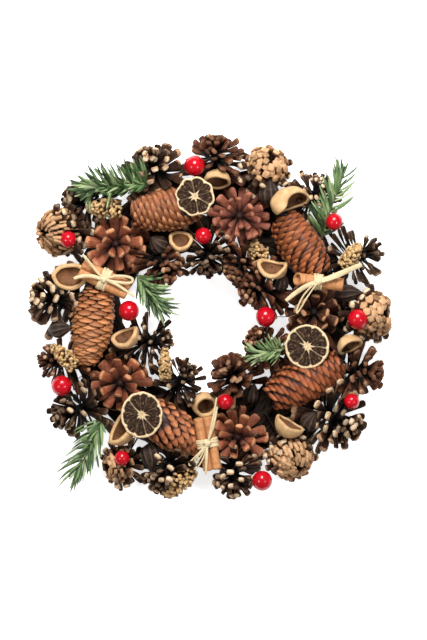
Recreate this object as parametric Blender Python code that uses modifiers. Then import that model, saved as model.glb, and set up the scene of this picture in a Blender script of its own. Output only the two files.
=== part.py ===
"""Pinecone wreath, lying on its back with its front up.

A flat ring of twisted vines carries everything. Berry picks and the tie wires of the small
pine cones run along its top, the long closed cones and the rosette pine cones stand on it,
and shell cups, pods, little golden cones, needle sprigs, citrus slices and tied cinnamon lie
on those. X is the wreath's right, Y its top, Z points out of its front.

All shapes are worked out in millimetres and made metres when a piece is finished. Smooth
pieces come first, then the scales of the pine cones, each cut back until it is clear of
what is there already.
"""

import math

import bmesh
import bpy
import numpy as np
from mathutils import Matrix, Vector
from mathutils.bvhtree import BVHTree

MM = 0.001
GAP = 0.35
FLOOR = 0.3
GOLDEN_ANGLE = math.pi * (3.0 - math.sqrt(5.0))

# The vine ring
RING_RADIUS = 112.0
RING_HALF_WIDTH = 27.0
RING_HALF_HEIGHT = 8.2
RING_MIDDLE = 6.4
RING_LOBES = 5
RING_TWISTS = 9
RING_SWELL = 0.10
RING_COLUMNS = 34
RING_ROWS = 8
# Ring points under this height are laid flat on the ground
RING_FLAT_BELOW = 1.2

# Heights of the wires over the ring
PICK_WIRE_Z = 16.6
PICK_WIRE = 0.9
TIE_WIRE = 1.0
TIE_WIRE_Z = PICK_WIRE_Z + PICK_WIRE + GAP + TIE_WIRE
TIE_RADIUS = 108.0
# The longest straight runs of the wires along the ring, as angles in radians
PICK_WIRE_STEP = 0.45
TIE_WIRE_STEP = 0.15

# Where a piece starts that is let down on the others, and the steps of its way
DROP_FROM = 75.0
DROP_STEP = 2.0
DROP_FINE = 0.4
MOST_SINK = 22.0
TOUCH = 0.85
# How near the cores and wires of a run may come to other pieces
RUN_CLEAR = 0.2

# Steps in which scales and needles are shortened and then grown again, as shares of full length
CUT_STEP = 0.05
CUT_FINE = 0.01

# Points nearer than this are one after a union, in millimetres
MERGE = 0.004

COLOURS = {
    "vine": (0.20, 0.11, 0.055),
    "long": (0.46, 0.17, 0.065),
    "rosette": (0.26, 0.09, 0.05),
    "dark": (0.06, 0.03, 0.02),
    "golden": (0.52, 0.31, 0.12),
    "cup": (0.66, 0.44, 0.23),
    "pod": (0.035, 0.02, 0.018),
    "cinnamon": (0.48, 0.19, 0.06),
    "raffia": (0.80, 0.66, 0.33),
    "citrus": (0.72, 0.55, 0.33),
    "berry": (0.62, 0.01, 0.03),
    "needle": (0.05, 0.16, 0.06),
}
ROUGH = {"berry": 0.12, "citrus": 0.6}

# What is finished, what is held until the scales are there, and what went wrong
placed = []
held = []
problems = []


def start_scene():
    """Clears the scene and makes the wreath's collection and one for shapes under way."""
    for thing in list(bpy.data.objects):
        bpy.data.objects.remove(thing)
    for name in ("pinecone_wreath", "workshop"):
        if name not in bpy.data.collections:
            bpy.data.collections.new(name)
        folder = bpy.data.collections[name]
        if name not in bpy.context.scene.collection.children:
            bpy.context.scene.collection.children.link(folder)


def material(kind):
    """The one finish of a kind of piece."""
    found = bpy.data.materials.get(kind)
    if found:
        return found
    made = bpy.data.materials.new(kind)
    made.use_nodes = True
    shader = made.node_tree.nodes["Principled BSDF"]
    shader.inputs["Base Color"].default_value = (*COLOURS[kind], 1.0)
    shader.inputs["Roughness"].default_value = ROUGH.get(kind, 0.75)
    shader.inputs["Metallic"].default_value = 0.0
    return made


# Shapes as arrays: each is a pair of points (in millimetres) and triangles


def arrays_of(bm):
    """The points and triangles of a bmesh, which is freed."""
    bmesh.ops.triangulate(bm, faces=bm.faces[:])
    bm.verts.ensure_lookup_table()
    points = np.array([v.co[:] for v in bm.verts])
    faces = [tuple(v.index for v in f.verts) for f in bm.faces]
    bm.free()
    return points, faces


def ball(columns, rows):
    """A unit sphere with its poles on Z."""
    bm = bmesh.new()
    bmesh.ops.create_uvsphere(bm, u_segments=columns, v_segments=rows, radius=1.0)
    return arrays_of(bm)


def blade():
    """Two three-sided pyramids foot to foot: a keel at +Y and two edges, from z = -1 to z = 1."""
    points, faces = ball(3, 2)
    angle = np.arctan2(points[:, 1], points[:, 0]) + math.pi / 2
    out = np.hypot(points[:, 0], points[:, 1])
    across = out * np.cos(angle) / math.cos(math.pi / 6)
    over = out * (np.sin(angle) - 0.25) / 0.75
    return np.stack([across, over, points[:, 2]], axis=1), faces


def spike(sides):
    """A pyramid from z = 0, where its corners are at radius 1, to its point at z = 1."""
    bm = bmesh.new()
    bmesh.ops.create_cone(bm, cap_ends=True, segments=sides, radius1=1.0, radius2=0.0, depth=1.0)
    points, faces = arrays_of(bm)
    return points + (0.0, 0.0, 0.5), faces


def torus(columns, rows):
    """A torus with a unit tube: each point's angle round it, how far out and over it is, triangles."""
    middle_radius = 3.0
    bpy.ops.mesh.primitive_torus_add(
        major_segments=columns, minor_segments=rows, major_radius=middle_radius, minor_radius=1.0
    )
    blank = bpy.context.object
    faces = []
    for polygon in blank.data.polygons:
        a, b, c, d = polygon.vertices
        faces += [(a, b, c), (a, c, d)]
    points = np.array([v.co[:] for v in blank.data.vertices])
    bpy.data.objects.remove(blank)
    around = np.arctan2(points[:, 1], points[:, 0])
    out = np.hypot(points[:, 0], points[:, 1]) - middle_radius
    return around, out, points[:, 2], faces


def ring_and_angle(points, rows):
    """For each point of a ball with so many rows: its ring from the top pole, and its angle."""
    ring = np.rint(np.arccos(np.clip(points[:, 2], -1, 1)) / math.pi * rows).astype(int)
    return ring, np.arctan2(points[:, 1], points[:, 0])


def frame_from(axis, side=(0.0, 0.0, 1.0)):
    """Three unit vectors, the last along axis and the second as near to side as it goes."""
    z = Vector(axis).normalized()
    y = Vector(side) - z * Vector(side).dot(z)
    if y.length < 1e-3:
        y = Vector((0.0, 1.0, 0.0)) - z * z.y
    y.normalize()
    x = y.cross(z)
    return np.array([x[:], y[:], z[:]])


def tube(points, radius, sides=6, closed=False):
    """A curve of straight runs with a round section, as arrays."""
    curve = bpy.data.curves.new("tube", "CURVE")
    curve.dimensions = "3D"
    curve.bevel_depth = radius
    curve.bevel_resolution = max(0, (sides - 4) // 2)
    curve.use_fill_caps = not closed
    line = curve.splines.new("POLY")
    line.points.add(len(points) - 1)
    for knot, place in zip(line.points, points):
        knot.co = (*place, 1.0)
    line.use_cyclic_u = closed
    guide = bpy.data.objects.new("tube", curve)
    bpy.data.collections["workshop"].objects.link(guide)
    bpy.context.view_layer.update()
    mesh = bpy.data.meshes.new_from_object(guide.evaluated_get(bpy.context.evaluated_depsgraph_get()))
    bm = bmesh.new()
    bm.from_mesh(mesh)
    bmesh.ops.remove_doubles(bm, verts=bm.verts[:], dist=MERGE / 4)
    bpy.data.objects.remove(guide)
    bpy.data.curves.remove(curve)
    bpy.data.meshes.remove(mesh)
    return arrays_of(bm)


def smooth_path(points, steps):
    """Catmull-Rom points through the given ones."""
    knots = [Vector(p) for p in points]
    knots = [knots[0] * 2 - knots[1], *knots, knots[-1] * 2 - knots[-2]]
    path = []
    for a, b, c, d in zip(knots, knots[1:], knots[2:], knots[3:]):
        for k in range(steps):
            t = k / steps
            bend = (2 * a - 5 * b + 4 * c - d) * t * t + (3 * b - a - 3 * c + d) * t**3
            path.append(0.5 * (2 * b + (c - a) * t + bend))
    path.append(knots[-2])
    return [p[:] for p in path]


def together(one, other):
    """Two shapes as one set of arrays, not joined."""
    shift = len(one[0])
    moved = [tuple(corner + shift for corner in face) for face in other[1]]
    return np.concatenate([one[0], other[0]]), list(one[1]) + moved


# Making objects


def to_object(name, points, faces, folder):
    """A new object from arrays, in one of the two collections."""
    mesh = bpy.data.meshes.new(name)
    mesh.from_pydata([tuple(p) for p in points], [], faces)
    thing = bpy.data.objects.new(name, mesh)
    bpy.data.collections[folder].objects.link(thing)
    return thing


def joined(shapes):
    """One Boolean union of all the shapes, as arrays."""
    if len(shapes) == 1:
        return shapes[0]
    first, *rest = [to_object("shape", *shape, "workshop") for shape in shapes]
    bag = bpy.data.collections.new("bag")
    bpy.context.scene.collection.children.link(bag)
    for thing in rest:
        bag.objects.link(thing)
    cut = first.modifiers.new("join", "BOOLEAN")
    cut.operation = "UNION"
    cut.operand_type = "COLLECTION"
    cut.collection = bag
    cut.solver = "EXACT"
    bpy.context.view_layer.update()
    mesh = bpy.data.meshes.new_from_object(first.evaluated_get(bpy.context.evaluated_depsgraph_get()))
    bm = bmesh.new()
    bm.from_mesh(mesh)
    bmesh.ops.remove_doubles(bm, verts=bm.verts[:], dist=MERGE)
    bmesh.ops.dissolve_degenerate(bm, dist=MERGE, edges=bm.edges[:])
    bpy.data.meshes.remove(mesh)
    for thing in [first, *rest]:
        bpy.data.objects.remove(thing)
    bpy.data.collections.remove(bag)
    return largest_part(bm)


def largest_part(bm):
    """Drops loose scraps: only the part with the most faces joined edge to edge stays."""
    left = set(bm.faces)
    parts = []
    while left:
        todo = [left.pop()]
        part = set(todo)
        while todo:
            for edge in todo.pop().edges:
                for face in edge.link_faces:
                    if face in left:
                        left.discard(face)
                        part.add(face)
                        todo.append(face)
        parts.append(part)
    parts.sort(key=len, reverse=True)
    for part in parts[1:]:
        bmesh.ops.delete(bm, geom=list(part), context="FACES")
    return arrays_of(bm)


def occupy(name, points, faces):
    """Notes what a finished piece takes up, for those that come after it."""
    points = np.asarray(points)
    tree = BVHTree.FromPolygons(points.tolist(), faces)
    placed.append((name, tree, points, points.min(axis=0), points.max(axis=0)))


def finish(name, kind, shape):
    """Makes the real object of a piece, in metres, and notes its place."""
    points, faces = shape
    occupy(name, points, faces)
    thing = to_object(name, np.asarray(points) * MM, faces, "pinecone_wreath")
    thing.data.materials.append(material(kind))
    thing.data.shade_flat()
    return thing


def meets(points, faces, margin=0.0, own=None):
    """The name of a finished piece that these arrays touch or come nearer to than margin.

    Pieces named own are left out: what a run of cones has put down already is part of itself.
    """
    low = points.min(axis=0) - margin
    high = points.max(axis=0) + margin
    if low[2] < FLOOR:
        return "floor"
    tree = None
    for name, other, corners, other_low, other_high in placed:
        if name == own or (low > other_high).any() or (high < other_low).any():
            continue
        if tree is None:
            tree = BVHTree.FromPolygons(points.tolist(), faces)
        if tree.overlap(other):
            return name
        if margin:
            for p in points:
                if other.find_nearest(p, margin)[0] is not None:
                    return name
            near = corners[((corners > low) & (corners < high)).all(axis=1)]
            for p in near:
                if tree.find_nearest(p, margin)[0] is not None:
                    return name
    return None


def let_down(shape):
    """The height change that brings a piece from DROP_FROM down until it lies on something."""
    points, faces = np.asarray(shape[0]), shape[1]
    height = DROP_FROM - points[:, 2].min()
    for step in (DROP_STEP, DROP_FINE):
        while not meets(points + (0.0, 0.0, height - step), faces, GAP):
            height -= step
    return height


def hold(name, kind, shape):
    """Keeps a small piece's place, as low as it is free of the finished ones, for the scales to meet."""
    points, faces = np.asarray(shape[0]), shape[1]
    while meets(points, faces, GAP):
        points = points + (0.0, 0.0, DROP_FINE)
    occupy(name, points, faces)
    held.append((name, kind, points, faces))


def lay_held():
    """Lets each kept piece sink until it touches what is beside or under it, the lowest first."""
    for name, kind, points, faces in sorted(held, key=lambda piece: piece[2][:, 2].min()):
        placed[:] = [piece for piece in placed if piece[0] != name]
        sunk = 0.0
        while sunk < MOST_SINK and not meets(points + (0.0, 0.0, -sunk), faces, TOUCH):
            sunk += DROP_FINE
        while sunk > 0.0 and meets(points + (0.0, 0.0, -sunk), faces, GAP):
            sunk -= DROP_FINE
        if sunk >= MOST_SINK:
            sunk = 0.0
        finish(name, kind, (points + (0.0, 0.0, -sunk), faces))


def lay(name, kind, shape):
    """Finishes a piece where it comes to lie, and returns its change in height."""
    height = let_down(shape)
    finish(name, kind, (np.asarray(shape[0]) + (0.0, 0.0, height), shape[1]))
    return height


def cut_back(make, full, least, own=None):
    """The longest of make(length) that is clear of all finished pieces, or None."""
    length = full
    while length >= least:
        if not meets(*make(length, GAP), own=own):
            while length < full and not meets(*make(length + CUT_FINE * full, GAP), own=own):
                length += CUT_FINE * full
            return make(length, 0.0)
        length -= CUT_STEP * full
    return None


# The ring and the picks


def vine_ring():
    """A torus with a flat lobed section whose lobes wind round it, on flat spots underneath."""
    around, out, over, faces = torus(RING_COLUMNS, RING_ROWS)
    across = np.arctan2(over, out)
    swell = 1.0 + RING_SWELL * np.cos(RING_LOBES * across + RING_TWISTS * around)
    radius = RING_RADIUS + RING_HALF_WIDTH * swell * np.cos(across)
    height = RING_MIDDLE + RING_HALF_HEIGHT * swell * np.sin(across)
    height[height < RING_FLAT_BELOW] = 0.0
    points = np.stack([radius * np.cos(around), radius * np.sin(around), height], axis=1)
    finish("vine_ring", "vine", (points, faces))


# Each berry: place, height of its middle, radius
BERRIES = {
    "top": (-15.2, 148.0, 50.0, 10.1),
    "upper_left": (-139.0, 76.0, 52.0, 8.1),
    "top_inner": (-6.6, 79.4, 50.0, 8.1),
    "left": (-79.4, 6.1, 48.0, 10.0),
    "upper_right": (121.5, 93.1, 54.0, 8.3),
    "inner_right": (54.5, 0.2, 46.0, 9.8),
    "right": (144.6, -2.2, 52.0, 9.9),
    "lower_left": (-145.3, -67.3, 50.0, 10.0),
    "low_left": (-86.2, -138.3, 50.0, 7.4),
    "bottom_inner": (14.7, -82.9, 52.0, 7.6),
    "low_right": (138.7, -82.6, 50.0, 7.6),
    "bottom": (51.0, -160.4, 48.0, 9.9),
}
# Each pick: its two berries, and the radius of its wire along the ring
PICKS = {
    "berry_pick_top": ("top", "top_inner", 118.0),
    "berry_pick_left": ("upper_left", "left", 116.0),
    "berry_pick_right": ("upper_right", "right", 124.0),
    "berry_pick_inner": ("inner_right", "bottom_inner", 96.0),
    "berry_pick_lower_left": ("lower_left", "low_left", 118.0),
    "berry_pick_bottom": ("low_right", "bottom", 122.0),
}


def on_ring(angle, radius, z):
    """A point at an angle and radius round the ring's middle."""
    return radius * math.cos(angle), radius * math.sin(angle), z


def berry_picks():
    """Two berries on each wire, which runs down from one, along the ring and up to the other."""
    sphere, sphere_faces = ball(8, 4)
    for name, (one, other, radius) in PICKS.items():
        x1, y1, z1, r1 = BERRIES[one]
        x2, y2, z2, r2 = BERRIES[other]
        start = math.atan2(y1, x1)
        turn = (math.atan2(y2, x2) - start + math.pi) % (2 * math.pi) - math.pi
        steps = max(1, round(abs(turn) / PICK_WIRE_STEP))
        arc = [on_ring(start + turn * k / steps, radius, PICK_WIRE_Z) for k in range(steps + 1)]
        route = [(x1, y1, z1), (x1, y1, PICK_WIRE_Z), *arc, (x2, y2, PICK_WIRE_Z), (x2, y2, z2)]
        shapes = [
            (sphere * r1 + (x1, y1, z1), sphere_faces),
            (sphere * r2 + (x2, y2, z2), sphere_faces),
            tube(route, PICK_WIRE, 4),
        ]
        finish(name, "berry", joined(shapes))


# Long closed cones: tip and stem end
LONG_CONES = {
    "long_cone_top": ((-82.0, 99.8), (-10.0, 109.6)),
    "long_cone_left": ((-122.5, -46.1), (-109.0, 30.0)),
    "long_cone_upper_right": ((67.0, 104.0), (107.5, 40.0)),
    "long_cone_right": ((134.5, -41.0), (59.0, -79.4)),
    "long_cone_bottom": ((-9.0, -128.5), (-70.0, -88.0)),
}
LONG_RADIUS = 21.0
LONG_COLUMNS = 10
LONG_ROWS = 7
# Where in its row a scale starts, where its lip lies at the middle and at the edge, and the
# radius at these three as a share of the cone's
SCALE_START, LIP_MIDDLE, LIP_EDGE = 0.10, 1.22, 0.86
START_GIRTH, MIDDLE_GIRTH, EDGE_GIRTH = 0.80, 1.0, 0.90


def long_cone(tip, stem):
    """Rings of scales on a spindle: each ring climbs to a scalloped lip and steps back in.

    The rows run from the stem end to the tip, and each is turned by half a scale.
    """
    tip, stem = Vector((*tip, 0.0)), Vector((*stem, 0.0))
    length = (tip - stem).length
    axes = frame_from(tip - stem)
    points, faces = ball(LONG_COLUMNS, 2 * LONG_ROWS + 2)
    ring = np.rint((1.0 - np.arccos(np.clip(points[:, 2], -1, 1)) / math.pi) * (2 * LONG_ROWS + 2))
    angle = np.arctan2(points[:, 1], points[:, 0])
    column = np.rint(angle / (2 * math.pi) * LONG_COLUMNS) % LONG_COLUMNS
    row = (ring - 1) // 2
    lip = (ring - 1) % 2 == 1
    middle = (column + row) % 2 == 0
    along = (row + SCALE_START) / LONG_ROWS
    along = np.where(lip, (row + np.where(middle, LIP_MIDDLE, LIP_EDGE)) / LONG_ROWS, along)
    girth = np.sin(math.pi * np.clip(0.13 + 0.80 * along, 0, 1)) ** 0.62
    girth *= np.where(lip, np.where(middle, MIDDLE_GIRTH, EDGE_GIRTH), START_GIRTH)
    reach = np.clip(along, 0, 1.04) * length * 0.97
    ends = (ring < 1) | (ring > 2 * LONG_ROWS + 1)
    girth = np.where(ends, 0.0, girth)
    reach = np.where(ring < 1, -0.02 * length, np.where(ends, length, reach))
    local = np.stack(
        [LONG_RADIUS * girth * np.cos(angle), LONG_RADIUS * girth * np.sin(angle), reach], axis=1
    )
    return local @ axes + np.array(stem[:]), faces


def long_cones():
    """Lays each long cone down on the ring."""
    for name, (tip, stem) in LONG_CONES.items():
        lay(name, "long", long_cone(tip, stem))


# Citrus slices: place, lowest height, radii, tilt from flat in degrees towards a heading
CITRUS = {
    "citrus_slice_top": (-14.7, 117.6, 58.0, 19.2, 19.2, 6, 200),
    "citrus_slice_lower_left": (-66.6, -95.6, 56.0, 20.5, 23.0, 5, 30),
    "citrus_slice_right": (94.9, -28.9, 58.0, 21.9, 21.9, 6, 120),
}
CITRUS_THICK = 3.2
SEGMENTS = 8
# The slice's section from pole to pole: shares of the radius, and half heights as shares of the
# thickness, where a wall between two segments stands higher
SLICE_OUT = (0.0, 0.24, 0.84, 0.91, 1.0, 0.91, 0.84, 0.24, 0.0)
SUNKEN, WALL = 0.22, 0.40
SLICE_HALF = (0.5, SUNKEN, SUNKEN, 0.5, 0.0, 0.5, SUNKEN, SUNKEN, 0.5)


def citrus_slice(x, y, z, rx, ry, tilt, heading):
    """A disc with a raised rim and raised walls between its sunken segments, on both faces."""
    columns = 2 * SEGMENTS
    rows = len(SLICE_OUT) - 1
    points, faces = ball(columns, rows)
    ring, angle = ring_and_angle(points, rows)
    column = np.rint(angle / (2 * math.pi) * columns) % columns
    out = np.array(SLICE_OUT)[ring]
    half = np.array(SLICE_HALF)[ring]
    half = np.where((column % 2 == 0) & (half == SUNKEN), WALL, half)
    face = np.where(ring < rows / 2, 1.0, -1.0)
    local = np.stack(
        [rx * out * np.cos(angle), ry * out * np.sin(angle), face * half * CITRUS_THICK], axis=1
    )
    a, h = math.radians(tilt), math.radians(heading)
    normal = (math.sin(a) * math.cos(h), math.sin(a) * math.sin(h), math.cos(a))
    return local @ frame_from(normal, (0, 1, 0)) + (x, y, z), faces


def citrus_slices():
    """Lays each slice down on the other pieces."""
    for name, values in CITRUS.items():
        lay(name, "citrus", citrus_slice(*values))


# Cinnamon: two ends, radius of a stick, how many sticks lie side by side
CINNAMON = {
    "left": ((-127.4, 48.0), (-79.4, 25.5), 5.0, 2),
    "right": ((80.3, 37.4), (130.4, 31.2), 6.6, 1),
    "bottom": ((-7.5, -97.0), (2.6, -150.0), 4.8, 2),
}
STICK_COLUMNS = 8
STICK_WALL = 2.0
STICK_MOUTH = 5.0
# How far two sticks side by side press into each other
STICK_PRESS = 0.6
# The loops and tails of each raffia tie, from its knot: thickness, then points in the sticks' plane
# and over it
RAFFIA = {
    "left": [
        (1.1, ((-12.0, 9.0, 2.5), (-20.0, 22.0, 3.0), (-13.5, 18.0, 3.5), (0.0, 0.0, 1.0))),
        (1.8, ((-12.0, 3.0, 1.5), (-29.0, 1.5, 0.5))),
        (1.3, ((14.0, 3.0, 2.0), (28.5, -1.5, 0.0), (20.0, -6.5, 1.0), (0.0, 0.0, 1.0))),
        (1.3, ((12.0, -5.0, 1.0), (29.5, -16.0, -4.0))),
    ],
    "right": [
        (1.9, ((15.0, 5.0, 2.0), (30.0, 11.5, 1.5), (41.5, 16.5, 1.0))),
        (1.9, ((-14.0, -5.5, 1.0), (-30.0, -17.0, -4.0))),
        (0.9, ((-13.0, -11.0, -1.0), (-20.5, -29.0, -5.0), (-12.0, -17.0, -1.0), (0.0, 0.0, 1.0))),
    ],
    "bottom": [
        (1.5, ((4.5, 20.0, 3.0), (9.0, 45.0, 5.0))),
        (1.5, ((-1.0, -14.0, 2.0), (-1.5, -29.0, 0.0))),
        (
            1.1,
            (
                (-8.0, -9.0, 0.0),
                (-17.0, -18.5, -4.0),
                (-10.0, -25.0, -4.0),
                (-4.0, -12.0, 0.0),
                (0.0, 0.0, 1.0),
            ),
        ),
    ],
}
WRAP_WIDTH = 9.0
WRAP_THICK = 1.6
WRAP_SLACK = 1.6
WRAP_SLACK_OVER = 1.1
KNOT = (3.6, 3.2, 2.2)
# A strand that meets something is raised by steps, and by no more than this in all
STRAND_STEP = 0.7
STRAND_MOST = 30.0


def stick(start, end, radius):
    """A quill of bark: a turned profile with a mouth sunk in at each end."""
    rows = 5
    axis = Vector(end) - Vector(start)
    points, faces = ball(STICK_COLUMNS, rows)
    ring, angle = ring_and_angle(points, rows)
    length = axis.length
    inner = radius - STICK_WALL
    out = np.array([0.0, inner, radius, radius, inner, 0.0])[ring]
    reach = np.array([length - STICK_MOUTH, length, length, 0.0, 0.0, STICK_MOUTH])[ring]
    local = np.stack([out * np.cos(angle), out * np.sin(angle), reach], axis=1)
    return local @ frame_from(axis) + np.array(start), faces


def wrap(middle, along, half_width, half_height):
    """The band of a tie: a closed loop round the sticks, with a flat section."""
    around, out, over, faces = torus(10, 4)
    thick = (out + 1.0) / 2.0 * WRAP_THICK
    local = np.stack(
        [
            (half_width + thick) * np.cos(around),
            (half_height + thick) * np.sin(around),
            over * WRAP_WIDTH / 2,
        ],
        axis=1,
    )
    return local @ frame_from(along) + np.array(middle), faces


def sticks_and_ties():
    """Lets each bundle down with its band, then ties the knot and leads the strands over the rest."""
    for place, (start, end, radius, count) in CINNAMON.items():
        along = Vector((end[0] - start[0], end[1] - start[1], 0.0)).normalized()
        side = Vector((-along.y, along.x, 0.0))
        pitch = 2 * radius - STICK_PRESS
        shapes = []
        for k in range(count):
            shift = side * (k - (count - 1) / 2) * pitch
            a = (start[0] + shift.x, start[1] + shift.y, 0.0)
            b = (end[0] + shift.x, end[1] + shift.y, 0.0)
            shapes.append(stick(a, b, radius))
        bundle = joined(shapes)
        half_width = radius + pitch * (count - 1) / 2 + WRAP_SLACK
        half_height = radius + WRAP_SLACK_OVER
        flat = ((start[0] + end[0]) / 2, (start[1] + end[1]) / 2, 0.0)
        band = wrap(flat, along, half_width, half_height)
        z = let_down(together(bundle, band))
        finish("cinnamon_" + place, "cinnamon", (bundle[0] + (0.0, 0.0, z), bundle[1]))
        knot = Vector((flat[0], flat[1], z + half_height + WRAP_THICK))
        bump, bump_faces = ball(6, 3)
        shapes = [(band[0] + (0.0, 0.0, z), band[1])]
        shapes.append((bump * KNOT + np.array(knot), bump_faces))
        for thick, route in RAFFIA[place]:
            path = [knot, *[knot + Vector(p) for p in route]]
            strand = tube(path, thick, 4)
            while meets(strand[0], strand[1], GAP):
                path = [path[0], *[p + Vector((0.0, 0.0, STRAND_STEP)) for p in path[1:]]]
                if path[-1].z > path[0].z + STRAND_MOST:
                    problems.append(f"a strand of tie {place} finds no way")
                    break
                strand = tube(path, thick, 4)
            shapes.append(strand)
        finish("raffia_tie_" + place, "raffia", joined(shapes))


# Cut shell cups: middle, heading of the opening, half sizes along and across, depth, turn of the
# long side in degrees, and how many rings of the ball are cut away
CUPS = {
    "shell_cup_left_upper": ((-137.2, 39.2, 45.0), (0.1, 0.1, 1.0), 18.0, 13.5, 11.0, 5, 3),
    "shell_cup_top_inner": ((-28.4, 75.5, 44.0), (0.1, 0.6, 0.8), 12.0, 12.0, 12.0, 0, 3),
    "shell_cup_top": ((6.9, 133.3, 44.0), (0.0, -0.75, 0.65), 13.5, 12.0, 12.0, 0, 3),
    "shell_cup_upper_right": ((78.4, 113.7, 46.0), (0.1, -0.35, 0.9), 20.0, 14.5, 13.0, 15, 3),
    "shell_cup_right_inner": ((60.8, 49.0, 46.0), (-0.1, 0.75, 0.65), 15.0, 11.0, 10.0, -15, 3),
    "shell_cup_left_lower": ((-83.3, -20.6, 46.0), (-0.5, 0.5, 0.75), 14.5, 13.0, 13.0, 20, 2),
    "shell_cup_lower_left": ((-87.8, -109.4, 49.0), (-0.6, 0.5, 0.65), 14.5, 11.5, 12.0, 60, 3),
    "shell_cup_bottom_inner": ((-4.9, -86.2, 46.0), (0.25, -0.45, 0.85), 13.3, 13.0, 13.0, 0, 2),
    "shell_cup_right": ((137.2, -28.4, 46.0), (0.0, -0.7, 0.7), 13.0, 11.5, 11.0, 0, 3),
    "shell_cup_low_right": ((77.8, -106.8, 44.0), (0.75, -0.1, 0.65), 14.5, 12.5, 12.5, 90, 2),
}
CUP_WALL = 2.0
CUP_ROWS = 6
CUP_COLUMNS = 8
# How far the rim rises and falls, as a share of the depth
CUP_WAVE = 0.10


def cup(middle, heading, half_long, half_wide, depth, turn, cut):
    """A bowl: the lower rings of a ball as an open surface, made a wall of even thickness."""
    bm = bmesh.new()
    bmesh.ops.create_uvsphere(bm, u_segments=CUP_COLUMNS, v_segments=CUP_ROWS, radius=1.0)
    rim = math.cos(math.pi * (cut - 0.5) / CUP_ROWS)
    bmesh.ops.delete(bm, geom=[v for v in bm.verts if v.co.z > rim], context="VERTS")
    top = math.cos(math.pi * cut / CUP_ROWS)
    for v in bm.verts:
        at_rim = abs(v.co.z - top) < 0.01
        lip = CUP_WAVE * math.sin(2 * math.atan2(v.co.y, v.co.x)) if at_rim else 0.0
        v.co = (v.co.x * half_long, v.co.y * half_wide, (v.co.z + lip) * depth)
    mesh = bpy.data.meshes.new("cup")
    bm.to_mesh(mesh)
    bm.free()
    thing = bpy.data.objects.new("cup", mesh)
    bpy.data.collections["workshop"].objects.link(thing)
    wall = thing.modifiers.new("wall", "SOLIDIFY")
    wall.thickness = CUP_WALL
    wall.offset = -1.0
    bpy.context.view_layer.update()
    whole = bpy.data.meshes.new_from_object(thing.evaluated_get(bpy.context.evaluated_depsgraph_get()))
    bm = bmesh.new()
    bm.from_mesh(whole)
    bpy.data.objects.remove(thing)
    bpy.data.meshes.remove(whole)
    points, faces = arrays_of(bm)
    angle = math.radians(turn)
    x, y, _ = Vector((math.cos(angle), math.sin(angle), 0.0))
    axes = frame_from(heading, (-y, x, 0.0))
    return points @ axes + np.array(middle), faces


def shell_cups():
    """Holds each cup in its place until the scales are there."""
    for name, values in CUPS.items():
        hold(name, "cup", cup(*values))


# Pods: middle, heading of the point, length, width
PODS = {
    "pod_top": ((57.8, 123.5, 42.0), (0.1, 1.0, 0.3), 31.0, 22.0),
    "pod_right_inner": ((69.6, 35.3, 40.0), (0.3, 0.8, 0.5), 22.0, 17.0),
    "pod_right": ((136.2, 23.5, 42.0), (1.0, 0.0, 0.15), 31.0, 18.5),
    "pod_left": ((-147.0, -11.8, 42.0), (1.0, 0.1, 0.2), 26.0, 18.0),
    "pod_low_left": ((-58.8, -138.2, 40.0), (0.1, -1.0, 0.2), 31.0, 20.0),
    "pod_upper_left": ((-51.9, 72.5, 42.0), (-0.5, 0.5, 0.7), 25.0, 20.0),
    "pod_low_right_inner": ((40.2, -74.5, 42.0), (0.3, 0.8, 0.4), 24.0, 17.0),
    "pod_low_right": ((98.4, -100.5, 42.0), (0.4, 0.6, 0.6), 27.0, 20.0),
}
POD_RIDGES = 5
# The pod's girth from point to stem, its valleys, and where each ring lies, as shares
POD_GIRTH = (0.0, 0.30, 0.80, 1.0, 0.72, 0.0)
POD_VALLEY = 0.80
POD_REACH = (0.5, 0.36, 0.12, -0.16, -0.40, -0.46)


def pod(middle, heading, length, width):
    """A spindle that is widest near its stem end, with ridges that run to its point."""
    rows = len(POD_GIRTH) - 1
    points, faces = ball(2 * POD_RIDGES, rows)
    ring, angle = ring_and_angle(points, rows)
    column = np.rint(angle / (2 * math.pi) * 2 * POD_RIDGES)
    girth = np.array(POD_GIRTH)[ring]
    girth = girth * np.where(column % 2 == 0, 1.0, POD_VALLEY)
    reach = np.array(POD_REACH)[ring]
    local = np.stack(
        [width / 2 * girth * np.cos(angle), width / 2 * girth * np.sin(angle), reach * length], axis=1
    )
    return local @ frame_from(heading) + np.array(middle), faces


def pods():
    """Holds each pod in its place until the scales are there."""
    for name, values in PODS.items():
        hold(name, "pod", pod(*values))


# Golden cones: middle, heading of the tip, length, width
GOLDEN = {
    "golden_cone_upper_left": ((-104.9, 106.8, 44.0), (-1.0, 0.05, 0.1), 40.0, 20.0),
    "golden_cone_right_inner": ((46.5, 62.2, 44.0), (-0.3, 1.0, 0.2), 29.0, 15.0),
    "golden_cone_right": ((139.2, 60.8, 44.0), (0.75, 1.0, 0.2), 32.0, 17.0),
    "golden_cone_left": ((-144.1, -38.2, 44.0), (-1.0, 0.9, 0.1), 38.0, 17.0),
    "golden_cone_inner": ((-44.1, -45.1, 44.0), (0.0, 1.0, 0.1), 42.0, 13.0),
    "golden_cone_bottom": ((-31.4, -163.7, 42.0), (-1.0, -1.0, 0.1), 42.0, 17.0),
}


GOLDEN_COLUMNS = 6
GOLDEN_ROWS = 9
# How deep it is between two lumps, as a share of the radius
GOLDEN_DIP = 0.76


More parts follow.
